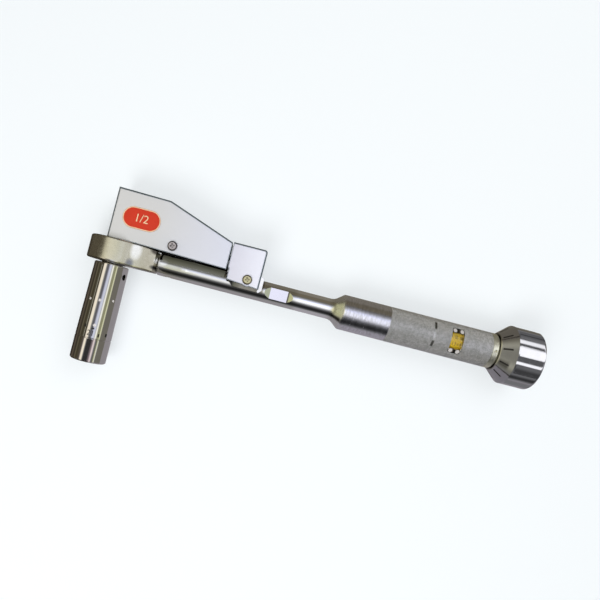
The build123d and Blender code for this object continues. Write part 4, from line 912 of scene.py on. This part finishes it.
def on_cone(turn):
    """Surface of the knob's cone: u runs along X from the lines' middle, v round it."""
    def place(u, v, lift):
        x = LINE_START + LINE_LENGTH / 2 + u
        radius = CONE_RADIUS + (x - knob_front) * CONE_SLOPE + lift
        angle = turn + v / radius
        return x, axis_mm + radius * math.sin(angle), radius * math.cos(angle)
    return place


for k in range(KNOB_LINES):
    turn = math.radians(FIRST_TURN + 360 / KNOB_LINES * k)
    laid("cone_line_" + letter(k), *bar(LINE_LENGTH, LINE_WIDTH), -0.12, 0.03, on_cone(turn),
         "black_paint", "knob", "dark_chrome")


def socket_radius(y):
    """Radius of the socket's taper at a height along Y: it widens from its top to its belt."""
    belt_radius, top_y = [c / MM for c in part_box("deep_socket")[1][:2]]
    taper, length = 0.7, 59.6
    return belt_radius - taper + taper * (top_y - y) / length


# Size number and small marks on the socket: height along Y, turn in degrees.
dot_turns = [math.radians(22.5 * s) for s in range(16)]
dot_points = [(math.cos(turn), math.sin(turn)) for turn in dot_turns]
socket_marks = [
    ("socket_number", lettered("21", 6.0), -57.6, 0),
    ("socket_dash_a", bar(1.6, 2.4), -52.6, -23),
    ("socket_dash_b", bar(1.3, 2.6), -58.2, 26),
    ("socket_dash_c", bar(1.7, 2.6), -57.0, 51),
    # painted shadow under the first dot
    ("socket_dash_d", bar(2.2, 1.2), -53.6, 4),
]
for name, outline, y, turn in socket_marks:
    skin = socket_radius(y)
    laid(name, *outline, skin - 0.1, skin + 0.04, on_socket(y, math.radians(turn)),
         "black_paint", "socket", "bright_chrome")
# The dots are painted highlights.
socket_dots = [(-50.9, 6.5, 1.2), (-31.0, 3, 1.1), (-29.4, 46, 1.0), (-31.4, -31, 1.0)]
for k, (y, turn, size) in enumerate(socket_dots):
    skin = socket_radius(y)
    points = [(u * size, v * size) for u, v in dot_points]
    laid("socket_dot_" + letter(k), points, [tuple(range(len(points)))], skin - 0.1, skin + 0.07,
         on_socket(y, math.radians(turn)), "stud_nickel", "socket", "bright_chrome")

# Cream rim and drive size on the side label.
RIM_STEPS = 32      # along each round end
label_low, label_high = [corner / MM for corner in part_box("side_label")]
label_middle = (label_low + label_high) / 2
label_half = (label_high - label_low) / 2
label_skin = (label_high.z - 0.05, label_high.z + 0.04)
on_label = on_plane(label_middle.x, label_middle.y)
rim_points = []
for inset in (0.05, 0.8):
    reach = label_half.y - inset
    for side, start in ((1, -90), (-1, 90)):
        for s in range(RIM_STEPS + 1):
            turn = math.radians(start + 180 * s / RIM_STEPS)
            end_x = (label_half.x - label_half.y) * side
            rim_points.append((end_x + reach * math.cos(turn), reach * math.sin(turn)))
rim_count = len(rim_points) // 2
rim_faces = [(i, (i + 1) % rim_count, rim_count + (i + 1) % rim_count, rim_count + i)
             for i in range(rim_count)]
label_marks = [("label_rim", (rim_points, rim_faces)), ("label_number", lettered("1/2", 9.0))]
for name, outline in label_marks:
    laid(name, *outline, *label_skin, on_label, "label_cream", "head", "label_red")


# -------------------- floor
FLOOR_HALF = 4.0        # metres
KNOB_REST = 8 * MM      # from the knob's rear end to where it touches the floor


def floor_material():
    """Pale floor: the camera sees a bright field with the shadow kept, the metal a dim one.

    In the metal it shades off toward the back of the head and behind the handle.
    """
    mat, tree, shown = material("floor")
    matte = tree.plain("ShaderNodeBsdfDiffuse", (0.82, 0.86, 0.88))
    glow = tree.plain("ShaderNodeEmission", (0.93, 0.97, 1.0))
    x, y, _ = tree.axes()
    behind = tree.mix(tree.spread(y, 4, 16), (0.36, 0.34, 0.36), (0.21, 0.19, 0.15))
    mirrored = tree.plain("ShaderNodeEmission", tree.mix(
        tree.spread(x, -8, 6), (0.05, 0.04, 0.03), behind))
    path = tree.add("ShaderNodeLightPath").outputs
    seen = tree.math("MAXIMUM", path["Is Camera Ray"], path["Is Transmission Ray"])
    field = tree.blend(tree.times(seen, 0.6), matte, glow)
    tree.link(tree.blend(path["Is Glossy Ray"], field, mirrored), shown)
    return mat


def make_floor():
    """Large floor under the wrench, which rests on its head and its knob."""
    verts = [(x * FLOOR_HALF, y * FLOOR_HALF, 0) for x, y in ((-1, -1), (1, -1), (1, 1), (-1, 1))]
    mesh = bpy.data.meshes.new("floor")
    mesh.from_pydata(verts, [], [(0, 1, 2, 3)])
    floor = bpy.data.objects.new("floor", mesh)
    head_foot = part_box("ratchet_head")[0].z
    knob_low, knob_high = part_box("setting_knob")
    floor.location.z = head_foot
    floor.rotation_euler.y = math.atan2(head_foot - knob_low.z, knob_high.x - KNOB_REST)
    floor.data.materials.append(floor_material())
    bpy.context.scene.collection.objects.link(floor)


# -------------------- cards that the polish shows
def make_flag(name, verts, faces, paint):
    """Card near the wrench that only its polish shows, as the room beside it would.

    The paint is one colour, or a function that gives the colour from the card's own place.
    """
    mesh = bpy.data.meshes.new(name)
    mesh.from_pydata([[c * MM for c in vert] for vert in verts], [], faces)
    flag = bpy.data.objects.new(name, mesh)
    mat, tree, shown = material(name)
    colour = paint(tree) if callable(paint) else paint
    tree.link(tree.plain("ShaderNodeEmission", colour), shown)
    flag.data.materials.append(mat)
    bpy.context.scene.collection.objects.link(flag)
    for ray in ("camera", "diffuse", "transmission", "volume_scatter", "shadow"):
        setattr(flag, "visible_" + ray, False)


def make_card(name, low, high, paint):
    """Flat flag between two corners that agree along one axis."""
    first, second = [axis for axis in range(3) if low[axis] != high[axis]]
    corners = []
    for a, b in ((low, low), (high, low), (high, high), (low, high)):
        corner = list(low)
        corner[first], corner[second] = a[first], b[second]
        corners.append(corner)
    make_flag(name, corners, [(0, 1, 2, 3)], paint)


def striped(axis, stops):
    """Paint in stripes along one axis (0 for X, 2 for Z), from stops in millimetres."""
    return lambda tree: tree.ramp(tree.axes()[axis], stops)


def in_radians(stops):
    """Stops given in degrees, for a ramp over an angle."""
    return [(math.radians(degrees), colour) for degrees, colour in stops]


def make_arch(name, radius, x_low, x_high, levels):
    """Arch over the knob, painted with levels of grey by the angle from +Z toward +Y."""
    steps, reach = 48, 120
    verts = []
    for i in range(steps + 1):
        turn = math.radians(-reach + 2 * reach * i / steps)
        y, z = axis_mm + radius * math.sin(turn), radius * math.cos(turn)
        verts += [(x_low, y, z), (x_high, y, z)]
    faces = [(2 * i, 2 * i + 1, 2 * i + 3, 2 * i + 2) for i in range(steps)]
    stops = in_radians([(degrees, grey(level)) for degrees, level in levels])

    def paint(tree):
        _, y, z = tree.axes()
        return tree.ramp(turn_of(tree, y, z), stops)

    make_flag(name, verts, faces, paint)


def make_cards():
    """Cards round the head, the socket, the tube and the knob."""
    dark = (0.07, 0.06, 0.04)
    warm = (1.20, 1.10, 0.90)
    pale = (0.80, 0.84, 1.0)
    moss = (0.36, 0.36, 0.22)
    straw = (0.9, 0.9, 0.6)
    sand = (0.95, 0.95, 0.75)
    rose = (1.0, 0.86, 0.86)
    ivory = (1.2, 1.2, 1.1)
    ash = (0.9, 0.92, 0.94)
    make_card("flag_left", (-70, 0, -22), (-70, 70, 90), (0.105, 0.09, 0.066))
    make_card("flag_left_foot", (-70, -110, -22), (-70, 0, 60), striped(2, [
        (-22, (0.16, 0.13, 0.10)), (-8, (0.12, 0.10, 0.07)), (0, dark), (12, (0.05, 0.04, 0.03)),
        (20, (0.16, 0.14, 0.09)), (36, (0.06, 0.05, 0.03)), (60, (0.12, 0.11, 0.07)),
    ]))
    make_card("head_card", (-40, 1, 60), (50, 30, 60), striped(0, [
        (-40, (0.6, 0.56, 0.44)), (-27, (0.86, 0.83, 0.68)), (-15, (0.98, 0.96, 0.84)),
        (4, (0.95, 0.94, 0.84)), (20, (0.84, 0.85, 0.78)), (36, ash), (44, ash),
        (50, (0.76, 0.75, 0.66)),
    ]))
    make_card("neck_fill", (34, -14, 60), (62, 1, 60), (0.80, 0.80, 0.70))
    make_card("neck_card", (58, 6.5, 15), (58, 13, 40), (1.5, 1.55, 1.6))
    make_card("socket_card", (-24, -63, 30), (33, -1, 30), striped(0, [
        (-24, dark), (-18.2, dark), (-15, warm), (-8.6, warm), (-6.5, grey(0.36)),
        (-3.2, grey(0.12)), (0, (0.22, 0.22, 0.27)), (3, pale), (7, pale), (8.8, grey(0.55)),
        (10.6, ivory), (13, ivory), (15.4, moss), (24, moss), (26, straw), (28.4, straw),
        (31, (0.6, 0.6, 0.45)),
    ]))
    make_card("belt_card", (-33, -92, 30), (33, -63, 30), striped(0, [
        (-33, dark), (-21, (0.14, 0.12, 0.10)), (-18.6, (0.5, 0.44, 0.4)), (-16.5, warm),
        (-11.4, warm), (-9, grey(0.25)), (-6.5, grey(0.04)), (3, grey(0.04)),
        (7.6, (0.3, 0.24, 0.26)), (10.4, rose), (12.4, rose), (14.6, grey(0.3)),
        (18, grey(0.12)), (23, moss), (26, sand), (28.5, sand), (31, grey(0.45)),
    ]))
    make_card("socket_side", (33, -92, 6), (33, -1, 30), (0.20, 0.19, 0.16))
    make_card("tube_shade", (38, 17.2, -5), (89, 17.2, 14), striped(2, [
        (-5, (0.06, 0.06, 0.045)), (3, (0.09, 0.09, 0.07)), (8, (0.17, 0.17, 0.14)),
        (14, (0.24, 0.24, 0.21)),
    ]))
    make_arch("knob_arch", 70, 338, 440, [
        (-120, 0.3), (-100, 0.3), (-84, 0.34), (-77, 0.06), (-69, 0.06), (-61, 0.27), (-45, 0.22),
        (-37, 0.08), (-24, 0.10), (-21.5, 2.0), (-15, 2.0), (-12.5, 0.18), (8, 0.18), (11.5, 2.1),
        (34, 2.1), (38, 0.18), (46, 0.18), (49, 1.8), (59, 1.8), (64, 0.15), (76, 0.22),
        (80, 0.05), (84, 0.2), (95, 0.26), (110, 0.3),
    ])


# -------------------- room, lamps and camera
LAMP_AIM = Vector((0.12, 0, 0))
CAMERA_PLACE = (101.93, -15.10, 479.0)
CAMERA_TURN = 14.56     # degrees
CAMERA_SHIFT = (0.1142, 0.0218)


def make_world():
    """Studio round the wrench: soft boxes overhead, dark room at the sides.

    One ramp runs over the angle from straight up toward +Y, the other from straight up toward
    +X, and a direction takes its light from the ramp of the plane it lies nearer to.
    """
    olive = (0.15, 0.13, 0.09)
    cream = (1.05, 0.98, 0.74)
    across = [
        (-180, grey(0.35)), (-92, grey(0.30)), (-76, grey(0.07)), (-66, grey(0.015)),
        (-50, grey(0.02)), (-40, grey(0.06)), (-30, grey(0.16)), (-22, grey(0.36)),
        (-14, grey(0.75)), (-6, grey(1.15)), (4, (1.2, 1.22, 1.26)), (12, (1.12, 1.16, 1.34)),
        (20, (0.82, 0.86, 1.06)), (29, grey(0.42)), (44, grey(0.13)), (52, olive), (84, olive),
        (104, grey(0.32)), (180, grey(0.35)),
    ]
    along = [
        (-180, grey(0.2)), (-100, (0.3, 0.3, 0.25)), (-80, (0.64, 0.62, 0.48)),
        (-64, (0.66, 0.64, 0.50)), (-57, (0.34, 0.33, 0.27)), (-38, (0.38, 0.365, 0.28)),
        (-28, cream), (-10, cream), (-3, (1.1, 1.12, 1.1)), (26, (1.12, 1.14, 1.26)),
        (34, (0.86, 0.86, 0.88)), (50, (0.74, 0.74, 0.70)), (80, (0.70, 0.70, 0.76)),
        (92, grey(0.4)), (180, grey(0.2)),
    ]
    world = bpy.data.worlds.new("studio")
    bpy.context.scene.world = world
    world.use_nodes = True
    tree = Tree(world.node_tree)
    out = tree.add("ShaderNodeOutputWorld")
    x, y, z = tree.split(tree.add("ShaderNodeTexCoord").outputs["Generated"])
    light_y = tree.ramp(tree.math("ARCTAN2", y, z), in_radians(across))
    light_x = tree.ramp(tree.math("ARCTAN2", x, z), in_radians(along))
    sharpness, never_zero = 6.0, 0.000001
    size_x = tree.math("POWER", tree.size(x), sharpness)
    size_y = tree.math("POWER", tree.size(y), sharpness)
    share = tree.math("DIVIDE", size_x, tree.plus(tree.plus(size_x, size_y), never_zero))
    light = tree.plain("ShaderNodeBackground", tree.mix(share, light_y, light_x))
    backdrop = tree.plain("ShaderNodeBackground", (0.95, 0.98, 1.0))
    camera_ray = tree.add("ShaderNodeLightPath").outputs["Is Camera Ray"]
    tree.link(tree.blend(camera_ray, light, backdrop), out.inputs["Surface"])


def make_lamp(name, place, size, power):
    """Soft area lamp on the handle, left out of the reflections, where the room's boxes show."""
    data = bpy.data.lights.new(name, "AREA")
    data.shape = "DISK"
    data.size = size
    data.energy = power
    lamp = bpy.data.objects.new(name, data)
    lamp.location = place
    lamp.rotation_mode = "QUATERNION"
    lamp.rotation_quaternion = (LAMP_AIM - Vector(place)).to_track_quat("-Z", "Y")
    lamp.visible_glossy = False
    bpy.context.scene.collection.objects.link(lamp)


def make_camera():
    """Camera straight over the wrench, turned so that the handle falls to the right."""
    data = bpy.data.cameras.new("camera")
    data.lens = 36.0
    data.sensor_width = 36.0
    data.shift_x, data.shift_y = CAMERA_SHIFT
    data.clip_start = 0.01
    camera = bpy.data.objects.new("camera", data)
    camera.location = [c * MM for c in CAMERA_PLACE]
    camera.rotation_euler = (0, 0, math.radians(CAMERA_TURN))
    bpy.context.scene.collection.objects.link(camera)
    bpy.context.scene.camera = camera


make_floor()
make_world()
make_cards()
make_lamp("key", (-0.1, -0.6, 0.9), 0.6, 8)
make_lamp("fill", (0.5, 0.5, 0.8), 0.8, 3)
make_camera()
bpy.context.scene.view_settings.view_transform = "Standard"
